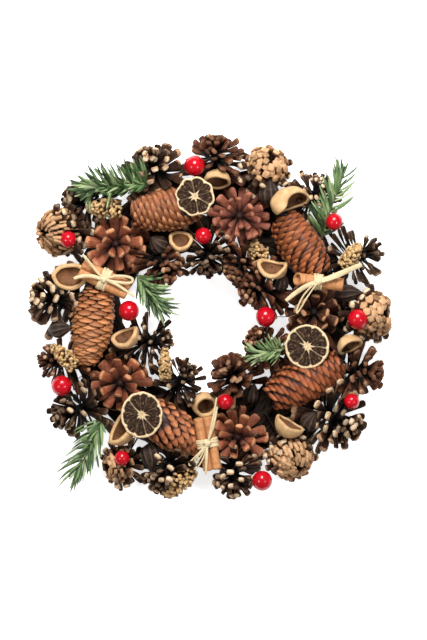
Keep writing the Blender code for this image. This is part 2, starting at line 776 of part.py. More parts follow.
def golden_cone(middle, heading, length, width):
    """A spindle of blunt lumps: every other point of each ring stands out."""
    rows = GOLDEN_ROWS
    points, faces = ball(GOLDEN_COLUMNS, rows)
    ring, angle = ring_and_angle(points, rows)
    column = np.rint(angle / (2 * math.pi) * GOLDEN_COLUMNS)
    lump = np.where((column + ring) % 2 == 0, 1.0, GOLDEN_DIP)
    turn = math.pi * ring / rows
    girth = np.sin(turn) ** 0.6 * lump
    local = np.stack(
        [
            width / 2 * girth * np.cos(angle),
            width / 2 * girth * np.sin(angle),
            np.cos(turn) * length / 2,
        ],
        axis=1,
    )
    return local @ frame_from(heading) + np.array(middle), faces


def golden_cones():
    """Holds each golden cone in its place until the scales are there."""
    for name, values in GOLDEN.items():
        hold(name, "golden", golden_cone(*values))


# Needle sprigs: the stem's route, needle length, how many needles
SPRIGS = {
    "sprig_upper_left": (
        ((-58.8, 130.3, 50.0), (-90.0, 127.0, 53.0), (-118.0, 126.0, 52.0), (-131.3, 124.5, 50.0)),
        21.0,
        23,
    ),
    "sprig_upper_right": (
        ((109.8, 76.4, 44.0), (114.7, 96.0, 52.0), (122.1, 116.6, 55.0), (130.3, 138.7, 52.0)),
        21.0,
        23,
    ),
    "sprig_left_inner": (((-71.5, 42.1, 46.0), (-58.0, 30.0, 50.0), (-42.1, 10.8, 46.0)), 17.0, 19),
    "sprig_lower_left": (
        ((-105.3, -98.0, 44.0), (-114.7, -121.5, 49.0), (-122.0, -137.0, 49.0), (-130.9, -151.9, 46.0)),
        19.0,
        22,
    ),
    "sprig_right_inner": (((73.0, -30.5, 42.0), (58.4, -33.3, 46.0), (45.0, -35.5, 45.0)), 13.0, 14),
}
NEEDLE = 0.9
STEM = 1.5
# Where on the stem the first needle grows, as a share, and how far needles lean from it, in
# radians, at the foot, and how much less at the end
FIRST_NEEDLE = 0.08
NEEDLE_LEAN, NEEDLE_LEAN_LESS = 0.95, 0.55
# How much shorter the shortest needles are, and what they may be cut back to, as shares
NEEDLE_UNEVEN = 0.18
NEEDLE_LEAST = 0.3


def sprig(name, route, length, count):
    """A stem with three-sided needles that lean forward and go round it by the golden angle.

    The stem is raised until it is free, and its foot reaches down to what holds it.
    """
    path = [Vector(p) for p in smooth_path(route, 2)]
    while meets(*tube(path, STEM, 4), GAP):
        path = [p + Vector((0.0, 0.0, 2 * GAP)) for p in path]
    hold_at = Vector(on_ring(math.atan2(path[0].y, path[0].x), RING_RADIUS, 0.0))
    foot = 1.0
    while foot > 0.02 and meets(*tube([path[0].lerp(hold_at, foot), *path], STEM, 4), GAP):
        foot -= 0.01
    shapes = [tube([path[0].lerp(hold_at, foot), *path], STEM, 4)]
    spine, spine_faces = spike(3)
    for k in range(count):
        t = FIRST_NEEDLE + (1.0 - FIRST_NEEDLE) * k / (count - 1)
        place = t * (len(path) - 1)
        near = min(int(place), len(path) - 2)
        root = path[near].lerp(path[near + 1], place - near)
        ahead = (path[near + 1] - path[near]).normalized()
        axes = frame_from(ahead)
        turn = k * GOLDEN_ANGLE
        lean = NEEDLE_LEAN - NEEDLE_LEAN_LESS * t**3
        out = Vector(axes[0]) * math.cos(turn) + Vector(axes[1]) * math.sin(turn)
        heading = ahead * math.cos(lean) + out * math.sin(lean)
        frame = frame_from(heading)

        def needle(reach, grow):
            scale = (NEEDLE + grow, NEEDLE + grow, reach + grow)
            return (spine * scale) @ frame + np.array(root), spine_faces

        uneven = NEEDLE_UNEVEN * ((k * 7) % 5) / 4
        made = cut_back(needle, length * (1.0 - uneven), NEEDLE_LEAST * length)
        if made:
            shapes.append(made)
    finish(name, "needle", joined(shapes))


def sprigs():
    """Grows the five sprigs over what lies under them."""
    for name, (route, length, count) in SPRIGS.items():
        sprig(name, route, length, count)


# Pine cones with open scales. A scale grows between two shares of the cone's length, is widest
# at a share of its own, and may be cut back to a share of its full reach
FIRST_SCALE, SCALES_SPAN = 0.12, 0.68
SCALE_WIDEST = 0.74
SCALE_LEAST = 0.4


def cone_core(root, heading, length, core):
    """The spindle that the scales of an open pine cone grow from."""
    body, faces = ball(6, 4)
    body = body * (core, core, length / 2) + (0.0, 0.0, length / 2 - 1.0)
    return body @ frame_from(heading) + root, faces


def cone_scales(root, heading, length, radius, count, leans, reaches, width, thick, core, turn, own=None):
    """The scales of an open pine cone, which go round its axis by the golden angle.

    Scale k grows from a point near the axis, leans from it by an angle that runs through leans
    from the stem end to the tip, and reaches out by a share of radius that runs through reaches.
    """
    axes = frame_from(heading)
    kite, kite_faces = blade()
    shapes = []
    for k in range(count):
        t = (k + 0.5) / count
        lean = math.radians(np.interp(t, (0.0, 0.5, 1.0), leans))
        inset = 0.5 * core * (1.0 - 0.5 * t)
        full = radius * np.interp(t, (0.0, 0.5, 1.0), reaches) - inset
        angle = turn + k * GOLDEN_ANGLE
        out = axes[0] * math.cos(angle) + axes[1] * math.sin(angle)
        side = np.cross(axes[2], out)
        ahead = axes[2] * math.cos(lean) + out * math.sin(lean)
        frame = np.array([side, np.cross(ahead, side), ahead])
        origin = root + axes[2] * length * (FIRST_SCALE + SCALES_SPAN * t) + out * inset

        def scale(reach, grow):
            part = reach / full
            ring = kite * (width / 2 * part + grow, thick / 2 + grow, 1.0)
            widest = np.where(kite[:, 2] < -0.5, 0.0, SCALE_WIDEST * reach)
            ring[:, 2] = np.where(kite[:, 2] > 0.5, reach + grow, widest)
            return ring @ frame + origin, kite_faces

        made = cut_back(scale, full, SCALE_LEAST * full, own)
        if made:
            shapes.append(made)
    return shapes


ROSETTES = {
    "rosette_cone_upper_left": ((-92.6, 71.5), 29.5, 0.3),
    "rosette_cone_top": ((28.9, 99.0), 29.0, 1.1),
    "rosette_cone_lower_left": ((-87.7, -64.7), 28.5, 2.0),
    "rosette_cone_bottom": ((27.4, -117.6), 29.0, 2.9),
    "rosette_cone_right": ((101.9, 4.9), 25.0, 3.7),
}
ROSETTE_LENGTH = 34.0
ROSETTE_CORE = 7.5
ROSETTE_SCALES = 22
ROSETTE_LEANS = (95, 62, 8)
ROSETTE_REACHES = (0.98, 0.94, 0.42)
ROSETTE_WIDTH = 0.46
ROSETTE_THICK = 4.0


def rosettes():
    """Lets each core down on the ring and grows its scales."""
    up = (0.0, 0.0, 1.0)
    for name, ((x, y), radius, turn) in ROSETTES.items():
        root = np.array((x, y, 0.0))
        root[2] = let_down(cone_core(root, up, ROSETTE_LENGTH, ROSETTE_CORE))
        shapes = [cone_core(root, up, ROSETTE_LENGTH, ROSETTE_CORE)]
        shapes += cone_scales(
            root,
            up,
            ROSETTE_LENGTH,
            radius,
            ROSETTE_SCALES,
            ROSETTE_LEANS,
            ROSETTE_REACHES,
            ROSETTE_WIDTH * radius,
            ROSETTE_THICK,
            ROSETTE_CORE,
            turn,
        )
        finish(name, "rosette", joined(shapes))


# Small pine cones in runs, each run on its own tie wire. A dark cone: middle of its open scales,
# heading of its tip, radius. A tan cone shows its stem end, so it is given by that.
DARK = {
    "top": [
        ((-54.9, 146.0), (-0.2, 0.5, 0.8), 26.0),
        ((5.9, 158.0), (0.0, 0.8, 0.6), 26.0),
        ((-2.0, 58.0), (-0.1, -0.7, 0.6), 21.0),
        ((30.0, 49.0), (-0.5, -0.6, 0.6), 19.0),
    ],
    "right": [
        ((103.0, 119.0), (0.5, 0.6, 0.6), 25.0),
        ((146.0, 60.0), (0.9, 0.3, 0.4), 26.0),
        ((48.0, 26.5), (-0.8, -0.1, 0.6), 22.0),
    ],
    "low_right": [
        ((146.0, -52.9), (0.8, -0.1, 0.6), 27.0),
        ((124.0, -102.0), (0.7, -0.5, 0.6), 29.0),
        ((50.0, -29.0), (-0.7, 0.4, 0.6), 20.0),
        ((22.0, -59.0), (-0.4, 0.6, 0.6), 25.0),
    ],
    "low_left": [
        ((23.5, -155.0), (0.0, -0.8, 0.5), 25.0),
        ((-42.0, -150.0), (-0.3, -0.7, 0.6), 27.0),
        ((-130.0, -92.0), (-0.8, -0.3, 0.6), 28.0),
        ((-29.0, -63.0), (0.5, 0.6, 0.7), 25.0),
    ],
    "left": [
        ((-150.0, -44.0), (-0.9, 0.0, 0.4), 21.0),
        ((-153.0, 18.0), (-0.8, 0.1, 0.6), 30.0),
        ((-124.0, 114.0), (-0.9, 0.3, 0.1), 23.0),
        ((-47.0, 52.0), (0.4, -0.6, 0.7), 25.0),
        ((-57.0, -24.0), (0.8, 0.1, 0.6), 24.0),
    ],
}
TAN = {
    "top": [((55.0, 147.0), (0.35, 0.6, 0.75), 22.0)],
    "right": [((160.0, 2.0), (0.75, 0.1, 0.65), 24.0)],
    "low_right": [((80.0, -138.0), (0.4, -0.55, 0.75), 23.0)],
    "low_left": [((-88.0, -149.5), (-0.9, -0.2, 0.35), 19.0)],
    "left": [((-148.0, 84.0), (-0.8, -0.1, 0.6), 24.0)],
}
# Lengths, widths and the tan core are shares of a cone's radius; dark scales are counted for
# each millimetre of it; leans and reaches run from the stem end to the tip
DARK_LENGTH = 1.45
DARK_SCALES = 0.37
DARK_LEANS = (100, 70, 15)
DARK_REACHES = (0.95, 1.0, 0.55)
DARK_WIDTH = 0.56
DARK_THICK = 3.6
DARK_CORE = 5.5
TAN_LENGTH = 1.1
TAN_SCALES = 13
TAN_LEANS = (155, 108, 70)
TAN_REACHES = (0.55, 0.98, 0.95)
TAN_WIDTH = 0.50
TAN_THICK = 5.5
TAN_CORE = 0.38
# Height of a cone whose heading rises by LEVEL_RISE, and how much lower one lies that rises less
CONE_Z = 34.0
LEVEL_RISE = 0.6
LOWER_BY = 22.0
# How far inside a tan cone's stem end its scales begin, and where in a cone the tie wire ends
TAN_INSET = 8.0
HEART = 0.35

# For each run the shapes put down so far and the plans of its cones
runs = {}


def spoke(heart):
    """The route of a tie wire from the run's own wire to a point inside a cone's core."""
    angle = math.atan2(heart[1], heart[0])
    return [on_ring(angle, TIE_RADIUS, TIE_WIRE_Z), (heart[0], heart[1], TIE_WIRE_Z), heart[:]]


def cone_plan(kind, x, y, heading, radius, turn):
    """What cone_core and cone_scales need for one small cone, in their order."""
    toward = Vector(heading).normalized()
    if kind == "dark":
        length = DARK_LENGTH * radius
        middle = Vector((x, y, CONE_Z - LOWER_BY * (LEVEL_RISE - toward.z)))
        root = middle - toward * length * 0.5
        count = round(DARK_SCALES * radius)
        style = (count, DARK_LEANS, DARK_REACHES, DARK_WIDTH * radius, DARK_THICK, DARK_CORE)
    else:
        length = TAN_LENGTH * radius
        root = Vector((x, y, CONE_Z)) + toward * TAN_INSET
        toward = -toward
        style = (TAN_SCALES, TAN_LEANS, TAN_REACHES, TAN_WIDTH * radius, TAN_THICK, TAN_CORE * radius)
    return np.array(root), toward, length, radius, *style, turn


def put_down(run, shape, what):
    """Keeps a first part of a run, and its place, before the scales are there."""
    hit = meets(np.asarray(shape[0]), shape[1], RUN_CLEAR, own="pine_cones_" + run)
    if hit:
        problems.append(f"{what} of run {run} meets {hit}")
    occupy("pine_cones_" + run, *shape)
    runs[run]["shapes"].append(shape)


def cone_runs():
    """Puts down the cores and the tie wires of each run."""
    for run in DARK:
        runs[run] = {"shapes": [], "plans": []}
        hearts = []
        cones = [("dark", *cone) for cone in DARK[run]] + [("tan", *cone) for cone in TAN[run]]
        for number, (kind, (x, y), heading, radius) in enumerate(cones):
            plan = cone_plan(kind, x, y, heading, radius, 1.3 * number)
            root, way, length, core = plan[0], plan[1], plan[2], plan[-2]
            runs[run]["plans"].append(plan)
            put_down(run, cone_core(root, way, length, core), f"the core of {kind} cone {number}")
            hearts.append(Vector(root) + way * length * HEART)
        angles = [math.atan2(heart.y, heart.x) for heart in hearts]
        middle = math.atan2(sum(map(math.sin, angles)), sum(map(math.cos, angles)))
        offsets = [(a - middle + math.pi) % (2 * math.pi) - math.pi for a in angles]
        low, high = min(offsets), max(offsets)
        steps = max(2, round((high - low) / TIE_WIRE_STEP))
        places = [middle + low + (high - low) * k / steps for k in range(steps + 1)]
        arc = [on_ring(place, TIE_RADIUS, TIE_WIRE_Z) for place in places]
        put_down(run, tube(arc, TIE_WIRE, 4), "the tie wire")
        for heart in hearts:
            put_down(run, tube(spoke(heart), TIE_WIRE, 4), f"the wire to {heart.x:.0f} {heart.y:.0f}")


def run_scales():
    """Adds the scales and makes each run one body."""
    for run, made in runs.items():
        name = "pine_cones_" + run
        shapes = made["shapes"]
        for plan in made["plans"]:
            shapes += cone_scales(*plan, own=name)
        placed[:] = [piece for piece in placed if piece[0] != name]
        finish(name, "dark", joined(shapes))


def centre_on_origin():
    """Moves everything so that its box stands on the origin."""
    things = bpy.data.collections["pinecone_wreath"].objects
    corners = np.array([v.co[:] for thing in things for v in thing.data.vertices])
    middle = (corners.min(axis=0) + corners.max(axis=0)) / 2
    for thing in things:
        thing.data.transform(Matrix.Translation((-middle[0], -middle[1], 0.0)))


def build():
    """Makes the wreath: what is firm first, then the scales, then what lies on top."""
    start_scene()
    vine_ring()
    berry_picks()
    cone_runs()
    long_cones()
    golden_cones()
    pods()
    shell_cups()
    rosettes()
    run_scales()
    lay_held()
    sprigs()
    citrus_slices()
    sticks_and_ties()
    centre_on_origin()
    if problems:
        raise ValueError("; ".join(problems))


build()
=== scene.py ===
"""Looks for the pinecone wreath: every plain solid gets a fine piece in its place.

Places are millimetres from the ring's own middle, X to the wreath's right, Y to its top and Z out
of its front, as in the solids. Every form is worked out with numpy and ends as one mesh.
"""

import math

import bpy
import numpy as np
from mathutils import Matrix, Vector
from mathutils.bvhtree import BVHTree


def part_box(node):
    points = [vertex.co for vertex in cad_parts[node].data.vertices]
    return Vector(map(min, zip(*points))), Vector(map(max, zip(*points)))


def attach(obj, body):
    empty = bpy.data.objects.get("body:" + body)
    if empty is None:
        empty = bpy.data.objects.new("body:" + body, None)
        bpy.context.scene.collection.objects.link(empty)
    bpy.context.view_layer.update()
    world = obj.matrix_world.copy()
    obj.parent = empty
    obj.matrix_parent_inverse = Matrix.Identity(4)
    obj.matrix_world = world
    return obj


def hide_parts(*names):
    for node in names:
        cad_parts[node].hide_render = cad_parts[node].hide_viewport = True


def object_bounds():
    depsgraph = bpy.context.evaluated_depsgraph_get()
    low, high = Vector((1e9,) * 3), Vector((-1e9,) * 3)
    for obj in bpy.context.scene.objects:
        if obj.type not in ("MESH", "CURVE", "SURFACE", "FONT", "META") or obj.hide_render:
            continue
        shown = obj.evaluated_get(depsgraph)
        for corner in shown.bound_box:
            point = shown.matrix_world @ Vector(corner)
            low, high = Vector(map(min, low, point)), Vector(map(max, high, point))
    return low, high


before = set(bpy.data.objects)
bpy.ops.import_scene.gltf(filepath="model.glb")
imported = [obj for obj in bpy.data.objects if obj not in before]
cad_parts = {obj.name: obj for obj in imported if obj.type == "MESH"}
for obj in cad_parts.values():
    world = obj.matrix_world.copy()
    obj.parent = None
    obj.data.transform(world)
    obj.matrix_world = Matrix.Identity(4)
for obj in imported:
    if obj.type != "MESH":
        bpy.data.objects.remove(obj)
solid_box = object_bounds()
rng = np.random.default_rng(7)
TURN = 2 * math.pi
# Marks hold an angle as a share of about one turn
ABOUT_TURN = 6.28
GOLDEN_ANGLE = math.pi * (3.0 - math.sqrt(5.0))
UP = (0.0, 0.0, 1.0)
MM = 0.001
TO_MM = 1000.0


def box_middle(node):
    """The middle of a plain solid's box, in millimetres from the origin."""
    return np.array([(low + high) * TO_MM / 2 for low, high in zip(*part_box(node))])


# The origin is the middle of the solids' box. One citrus slice, whose place on the ring is known,
# tells how far the ring's middle is from it
SLICE_PLACE = (94.9, -28.9, 0.0)
SHIFT = (box_middle("citrus_slice_right") - SLICE_PLACE) * (1.0, 1.0, 0.0)


def middle_of(node):
    """The middle of a plain solid's box, in ring millimetres."""
    return box_middle(node) - SHIFT


# Forms


def unit(v):
    """The vectors made one long."""
    v = np.asarray(v, float)
    return v / np.linalg.norm(v, axis=-1, keepdims=True)


def frame_from(axis, side=UP):
    """Three unit vectors: the last runs along axis, the second is side less its share along axis."""
    z = unit(axis)
    y = np.asarray(side, float) - z * np.dot(side, z)
    if np.linalg.norm(y) < 1e-3:
        y = np.array((0.0, 1.0, 0.0)) - z * z[1]
    y = unit(y)
    return np.array([np.cross(y, z), y, z])


def smooth(low_end, high_end, x):
    """Zero below low_end, one above high_end, and 3 t squared less 2 t cubed between them."""
    t = np.clip((x - low_end) / (high_end - low_end), 0.0, 1.0)
    return t * t * (3.0 - 2.0 * t)


def rounded(angles, power):
    """Cosine and sine of the angles with their size raised to power, which squares the circle off."""
    x, y = np.cos(angles), np.sin(angles)
    return np.sign(x) * np.abs(x) ** power, np.sign(y) * np.abs(y) ** power


def bell(x, wide):
    """The bell curve: one at zero, and about a third of that at wide."""
    return np.exp(-((x / wide) ** 2))


def arch(x):
    """Half a sine wave: zero at 0 and at 1, and one halfway."""
    return np.sin(math.pi * np.clip(x, 0.0, 1.0))


def half_turn(angle):
    """The same angle between minus and plus half a turn."""
    return (angle + math.pi) % TURN - math.pi


def turned(girth, a, height, girth_y=None):
    """Points at angle a round the Z axis: girth away from it, or girth_y along Y, and height up."""
    y = (girth if girth_y is None else girth_y) * np.sin(a)
    return np.stack(np.broadcast_arrays(girth * np.cos(a), y, height), axis=-1)


def curve_through(knots, count):
    """Points of the Catmull-Rom curve through the knots, evenly spread over its length."""
    p = np.asarray(knots, float)
    p = np.concatenate([[2 * p[0] - p[1]], p, [2 * p[-1] - p[-2]]])
    t = np.linspace(0.0, len(p) - 3 - 1e-6, 40 * (len(p) - 3))
    i = t.astype(int)
    u = (t - i)[:, None]
    a, b, c, d = p[i], p[i + 1], p[i + 2], p[i + 3]
    second, third = 2 * a - 5 * b + 4 * c - d, 3 * b - a - 3 * c + d
    fine = 0.5 * (2 * b + (c - a) * u + second * u**2 + third * u**3)
    far = np.concatenate([[0.0], np.cumsum(np.linalg.norm(np.diff(fine, axis=0), axis=1))])
    even = np.linspace(0.0, far[-1], count)
    return np.stack([np.interp(even, far, fine[:, k]) for k in range(3)], axis=1)


def skin(rings, starts, ends, place):
    """Closed skins over rings: rings has the shape skins, rings, columns, 3.

    Neighbouring rings are joined by quads and each end ring by a fan to its own pole. place
    holds three numbers for every point, for the material, in the same shape.
    """
    skins, rows, columns, _ = rings.shape
    body = np.arange(rows * columns).reshape(rows, columns)
    beside = np.roll(body, -1, axis=1)
    quads = np.stack([body[:-1], beside[:-1], beside[1:], body[1:]], axis=-1).reshape(-1, 4)
    pole = np.full(columns, rows * columns)
    start_fan = np.stack([beside[0], body[0], pole], axis=-1)
    end_fan = np.stack([body[-1], beside[-1], pole + 1], axis=-1)
    fans = np.concatenate([start_fan, end_fan])
    step = (np.arange(skins) * (rows * columns + 2))[:, None, None]
    points = np.concatenate([rings.reshape(skins, -1, 3), starts[:, None], ends[:, None]], axis=1)
    poles = np.stack([place[:, 0].mean(axis=1), place[:, -1].mean(axis=1)], axis=1)
    marks = np.concatenate([place.reshape(skins, -1, 3), poles], axis=1).reshape(-1, 3)
    return points.reshape(-1, 3), (quads + step).reshape(-1, 4), (fans + step).reshape(-1, 3), marks


def closed_form(rows, columns, shape, axes=np.eye(3), origin=(0.0, 0.0, 0.0)):
    """One closed skin from shape(t, a): t runs from pole to pole, a once round it.

    shape gives points, which axes turns and origin moves, and the three marks for the material.
    """
    t = np.linspace(0.0, 1.0, rows + 2)[:, None]
    a = np.linspace(0.0, TURN, columns, endpoint=False)[None, :]
    t, a = np.broadcast_arrays(t, a)
    local, marks = shape(t, a)
    points = local @ axes + origin
    marks = np.stack(np.broadcast_arrays(*marks, t)[:3], axis=-1)
    start, end = points[0].mean(axis=0), points[-1].mean(axis=0)
    return skin(points[None, 1:-1], start[None], end[None], marks[None, 1:-1])


def strip(path, wide, high, columns=8, side=UP, square=1.0, tone=0.5):
    """A rod along a path: at each point an ellipse of half sizes wide and high.

    Its upper side is side less its share along the path, and square below one fills its corners.
    """
    x, y = rounded(np.linspace(0.0, TURN, columns, endpoint=False), square)
    ahead = unit(np.gradient(path, axis=0))
    side = np.broadcast_to(np.asarray(side, float), path.shape)
    up = unit(side - ahead * (side * ahead).sum(axis=1, keepdims=True) + 1e-9)
    across = np.cross(up, ahead)
    wide = np.broadcast_to(wide, len(path))[:, None, None]
    high = np.broadcast_to(high, len(path))[:, None, None]
    rings = path[:, None] + across[:, None] * x[None, :, None] * wide + up[:, None] * y[None, :, None] * high
    t = np.linspace(0.0, 1.0, len(path))
    marks = np.stack(np.broadcast_arrays(t[:, None], y[None], np.array(tone)), axis=-1)
    return skin(rings[None], path[:1], path[-1:], marks[None])


def centred(form, node):
    """A form moved so that the middle of its box is that of the node."""
    points = form[0]
    centre = (points.min(axis=0) + points.max(axis=0)) / 2
    return (points - centre + middle_of(node), *form[1:])


def piece(name, forms, finish, node):
    """A mesh from forms in millimetres, which stands for its node and rides on the wreath."""
    points, quads, fans, marks = zip(*forms)
    firsts = np.cumsum([0, *map(len, points)])
    faces = [(face + first).tolist() for kind in (quads, fans) for face, first in zip(kind, firsts)]
    mesh = bpy.data.meshes.new(name)
    mesh.from_pydata(((np.concatenate(points) + SHIFT) * MM).tolist(), [], sum(faces, []))
    store = mesh.attributes.new("place", "FLOAT_VECTOR", "POINT")
    store.data.foreach_set("vector", np.concatenate(marks).astype(np.float32).ravel())
    mesh.shade_smooth()
    mesh.materials.append(finish)
    made = bpy.data.objects.new(name, mesh)
    bpy.context.scene.collection.objects.link(made)
    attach(made, "root")
    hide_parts(node)


# Finishes


class Finish:
    """A material under way: each step adds one node and gives its output."""

    def __init__(self, name):
        """Starts the material with its own shader."""
        self.made = bpy.data.materials.new(name)
        self.made.use_nodes = True
        self.tree = self.made.node_tree

    def feed(self, socket, value):
        """Links another node's output to a socket, or sets the socket's own number or colour."""
        if isinstance(value, bpy.types.NodeSocket):
            self.tree.links.new(value, socket)
        elif socket.type == "RGBA" and len(value) == 3:
            socket.default_value = (*value, 1.0)
        else:
            socket.default_value = value

    def add(self, kind, inputs=(), output=0, **settings):
        """One output of a new node, whose settings are set and whose inputs are fed."""
        node = self.tree.nodes.new("ShaderNode" + kind)
        for key, value in settings.items():
            setattr(node, key, value)
        for socket, value in inputs:
            self.feed(node.inputs[socket], value)
        return node.outputs[output]

    def marks(self):
        """The piece's own marks: share along, side faced, tone."""
        place = self.add("Attribute", output="Vector", attribute_name="place")
        return tuple(self.add("SeparateXYZ", [(0, place)]).node.outputs)

    def maths(self, kind, *values):
        """The sum, product or other result of the values, by the kind of operation."""
        return self.add("Math", enumerate(values), operation=kind)

    def times(self, a, b):
        """The product of two values."""
        return self.maths("MULTIPLY", a, b)

    def noise(self, scale, detail=3.0, where=None):
        """Clouds over where, or else over the piece's own place in metres."""
        if where is None:
            where = self.add("TexCoord", output="Object")
        inputs = [("Vector", where), ("Scale", scale), ("Detail", detail), ("Roughness", 0.55)]
        return self.add("TexNoise", inputs)

    def streaks(self, values, stretch, scale, detail=3.0):
        """Clouds over three values, each multiplied by its own stretch first."""
        where = self.add("CombineXYZ", enumerate(map(self.times, values, stretch)))
        return self.noise(scale, detail, where)

    def spread(self, value, low_end, high_end, to_low=0.0, to_high=1.0):
        """What turns low_end into to_low and high_end into to_high, smoothly."""
        inputs = enumerate((value, low_end, high_end, to_low, to_high))
        return self.add("MapRange", inputs, interpolation_type="SMOOTHSTEP")

    def ramp(self, value, *stops):
        """Colours over a value: each stop gives a value and the colour there."""
        node = self.add("ValToRGB", [(0, value)]).node
        band = node.color_ramp
        while len(band.elements) < len(stops):
            band.elements.new(0.5)
        for element, (at, colour) in zip(band.elements, stops):
            element.position = at
            element.color = (*colour, 1.0)
        return node.outputs[0]

    def blend(self, share, one, other, kind="MIX"):
        """Goes from one colour towards the other by share, or multiplies it by the other."""
        inputs = [(0, share), (6, one), (7, other)]
        return self.add("Mix", inputs, 2, data_type="RGBA", blend_type=kind)

    def done(self, colour, rough, relief=None, gloss=0.5, **more):
        """The material, its relief from a height, how deep that is in metres, and its strength."""
        shader = self.tree.nodes["Principled BSDF"].inputs
        if relief is not None:
            more["Normal"] = self.add("Bump", zip(("Height", "Distance", "Strength"), relief))
        more.update({"Base Color": colour, "Roughness": rough, "Specular IOR Level": gloss})
        for key, value in more.items():
            self.feed(shader[key], value)
        return self.made


def plain_finish(name, dark, light, rough=0.8, gloss=0.05, scale=300.0, detail=3.0):
    """Clouds of a dark and a lighter colour, as on brown wire."""
    f = Finish(name)
    return f.done(f.ramp(f.noise(scale, detail), (0.3, dark), (0.7, light)), rough, None, gloss)


def scale_finish(
    name, root, body, tip, under, pales, root_shade_span, streak, rough=0.62,
    edge=0.0, shy=0.0, gloss=0.20, varied=0.55,
):
    """Woody scales: dark at the root, a painted shade where each scale lies under those over it, body colour
    on the blade, and a paler tip, palest under it.

    root_shade_span says over which share of the scale the painted root shade turns into body, pales where
    that turns into tip.
    streak is how much the fibres darken, edge the share of tip colour along the blade's edges, shy
    the share of the scales whose tips stay dull, and varied how much lighter the lightest scale is
    than the darkest.
    """
    f = Finish(name)
    along, side, tone = f.marks()
    fibre = f.streaks((along, side, tone), (1.5, 5.0, 40.0), 4.0)
    patch = f.noise(260.0, 4.0)
    fleck = f.noise(1400.0, 2.0)
    wobble = f.maths("MULTIPLY_ADD", f.maths("SUBTRACT", patch, 0.5), 0.22, along)
    wobble = f.maths("MULTIPLY_ADD", f.maths("SUBTRACT", tone, 0.6), 0.10, wobble)
    # Painted shade: near its root each scale takes the dark root colour, standing for the shade of the scales
    # lying over it, and turns into body colour further out.
    blade = f.blend(f.spread(along, *root_shade_span), root, body)
    rim = f.spread(f.maths("ABSOLUTE", side), 0.15, 0.70, edge, 0.0)
    blade = f.blend(f.times(rim, f.spread(wobble, 0.25, 0.65)), blade, tip)
    pale = f.blend(f.spread(side, -0.25, 0.25), under, tip)
    bright = f.spread(tone, shy - 0.20, shy + 0.10, 1.0 if shy == 0.0 else 0.10, 1.0)
    colour = f.blend(f.times(f.spread(wobble, *pales), bright), blade, pale)
    colour = f.blend(f.spread(fibre, 0.25, 0.75, streak, 0.0), colour, root)
    colour = f.blend(f.spread(patch, 0.3, 0.7, 0.0, 0.35), colour, body, "MULTIPLY")
    light = f.maths("MULTIPLY_ADD", tone, varied, 0.995 - 0.5 * varied)
    colour = f.blend(1.0, colour, f.add("CombineXYZ", enumerate([light] * 3)), "MULTIPLY")
    shine = f.spread(patch, 0.3, 0.7, rough - 0.12, rough + 0.12)
    height = f.maths("ADD", f.times(fibre, 0.8), f.times(fleck, 0.5))
    return f.done(colour, shine, (height, 0.0006, 0.8), gloss)


# What the scales and needles stop short of
BERRIES_FROM = 30.0
RAISES = 3
RAISE = 9.0
BOX_MARGIN = 1.2
EDGE_SHARE = 0.8


def tree_of(names, raised=()):
    """The plain solids of these names as one search tree, in ring millimetres.

    Those in raised count three more times, each 9 mm higher, so that nothing grows over them. Of
    the picks only the berries count, not the wires below them.
    """
    points, faces, count = [], [], 0
    for name in names:
        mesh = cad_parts[name].data
        corners = np.empty(len(mesh.vertices) * 3)
        mesh.vertices.foreach_get("co", corners)
        corners = corners.reshape(-1, 3) * TO_MM - SHIFT
        mesh.calc_loop_triangles()
        tris = np.empty(len(mesh.loop_triangles) * 3, int)
        mesh.loop_triangles.foreach_get("vertices", tris)
        tris = tris.reshape(-1, 3)
        if name.startswith("berry_pick"):
            tris = tris[corners[tris][:, :, 2].min(axis=1) > BERRIES_FROM]
        for _ in range(1 + RAISES * (name in raised)):
            points.append(corners)
            faces.append(tris + count)
            count += len(corners)
            corners = corners + (0.0, 0.0, RAISE)
    return BVHTree.FromPolygons(np.concatenate(points).tolist(), np.concatenate(faces).tolist())


LOOSE = ("pine_cones", "rosette", "sprig", "raffia")
IN_VIEW = ("golden_cone_right_inner", "pod_low_right_inner", "pod_upper_left", "pod_right_inner", "pod_right")
firm = tree_of([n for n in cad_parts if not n.startswith(LOOSE)], IN_VIEW)
slices = tree_of([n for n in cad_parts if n.startswith("citrus")])
all_but_ties = tree_of([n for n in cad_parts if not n.startswith("raffia")])
BOX_LOW, BOX_HIGH = (np.array(corner) * TO_MM - SHIFT for corner in solid_box)


def free_length(origins, ways, sides, half, full, clear=0.5):
    """How far each scale can reach.

    It ends inside the box of the solids, and three rays, at its middle and its two sides,
    stop it at the firm solids.
    """
    wall = np.where(ways > 0.0, BOX_HIGH - BOX_MARGIN, BOX_LOW + BOX_MARGIN)
    room = ((wall - origins) / np.where(np.abs(ways) < 1e-6, 1e-6, ways)).min(axis=1)
    reach = np.minimum(full, np.maximum(room, 0.0))
    for k, (origin, way, side) in enumerate(zip(origins, ways, sides)):
        for share in (-EDGE_SHARE, 0.0, EDGE_SHARE):
            hit = firm.ray_cast(Vector(origin + side * half * share), Vector(way), reach[k] + clear)[3]
            if hit is not None:
                reach[k] = min(reach[k], hit - clear)
    return reach


# Scales
SECTION = np.linspace(0.0, TURN, 8, endpoint=False)
SCALE_RINGS = np.array([0.03, 0.26, 0.48, 0.66, 0.80, 0.90, 0.965, 0.995])


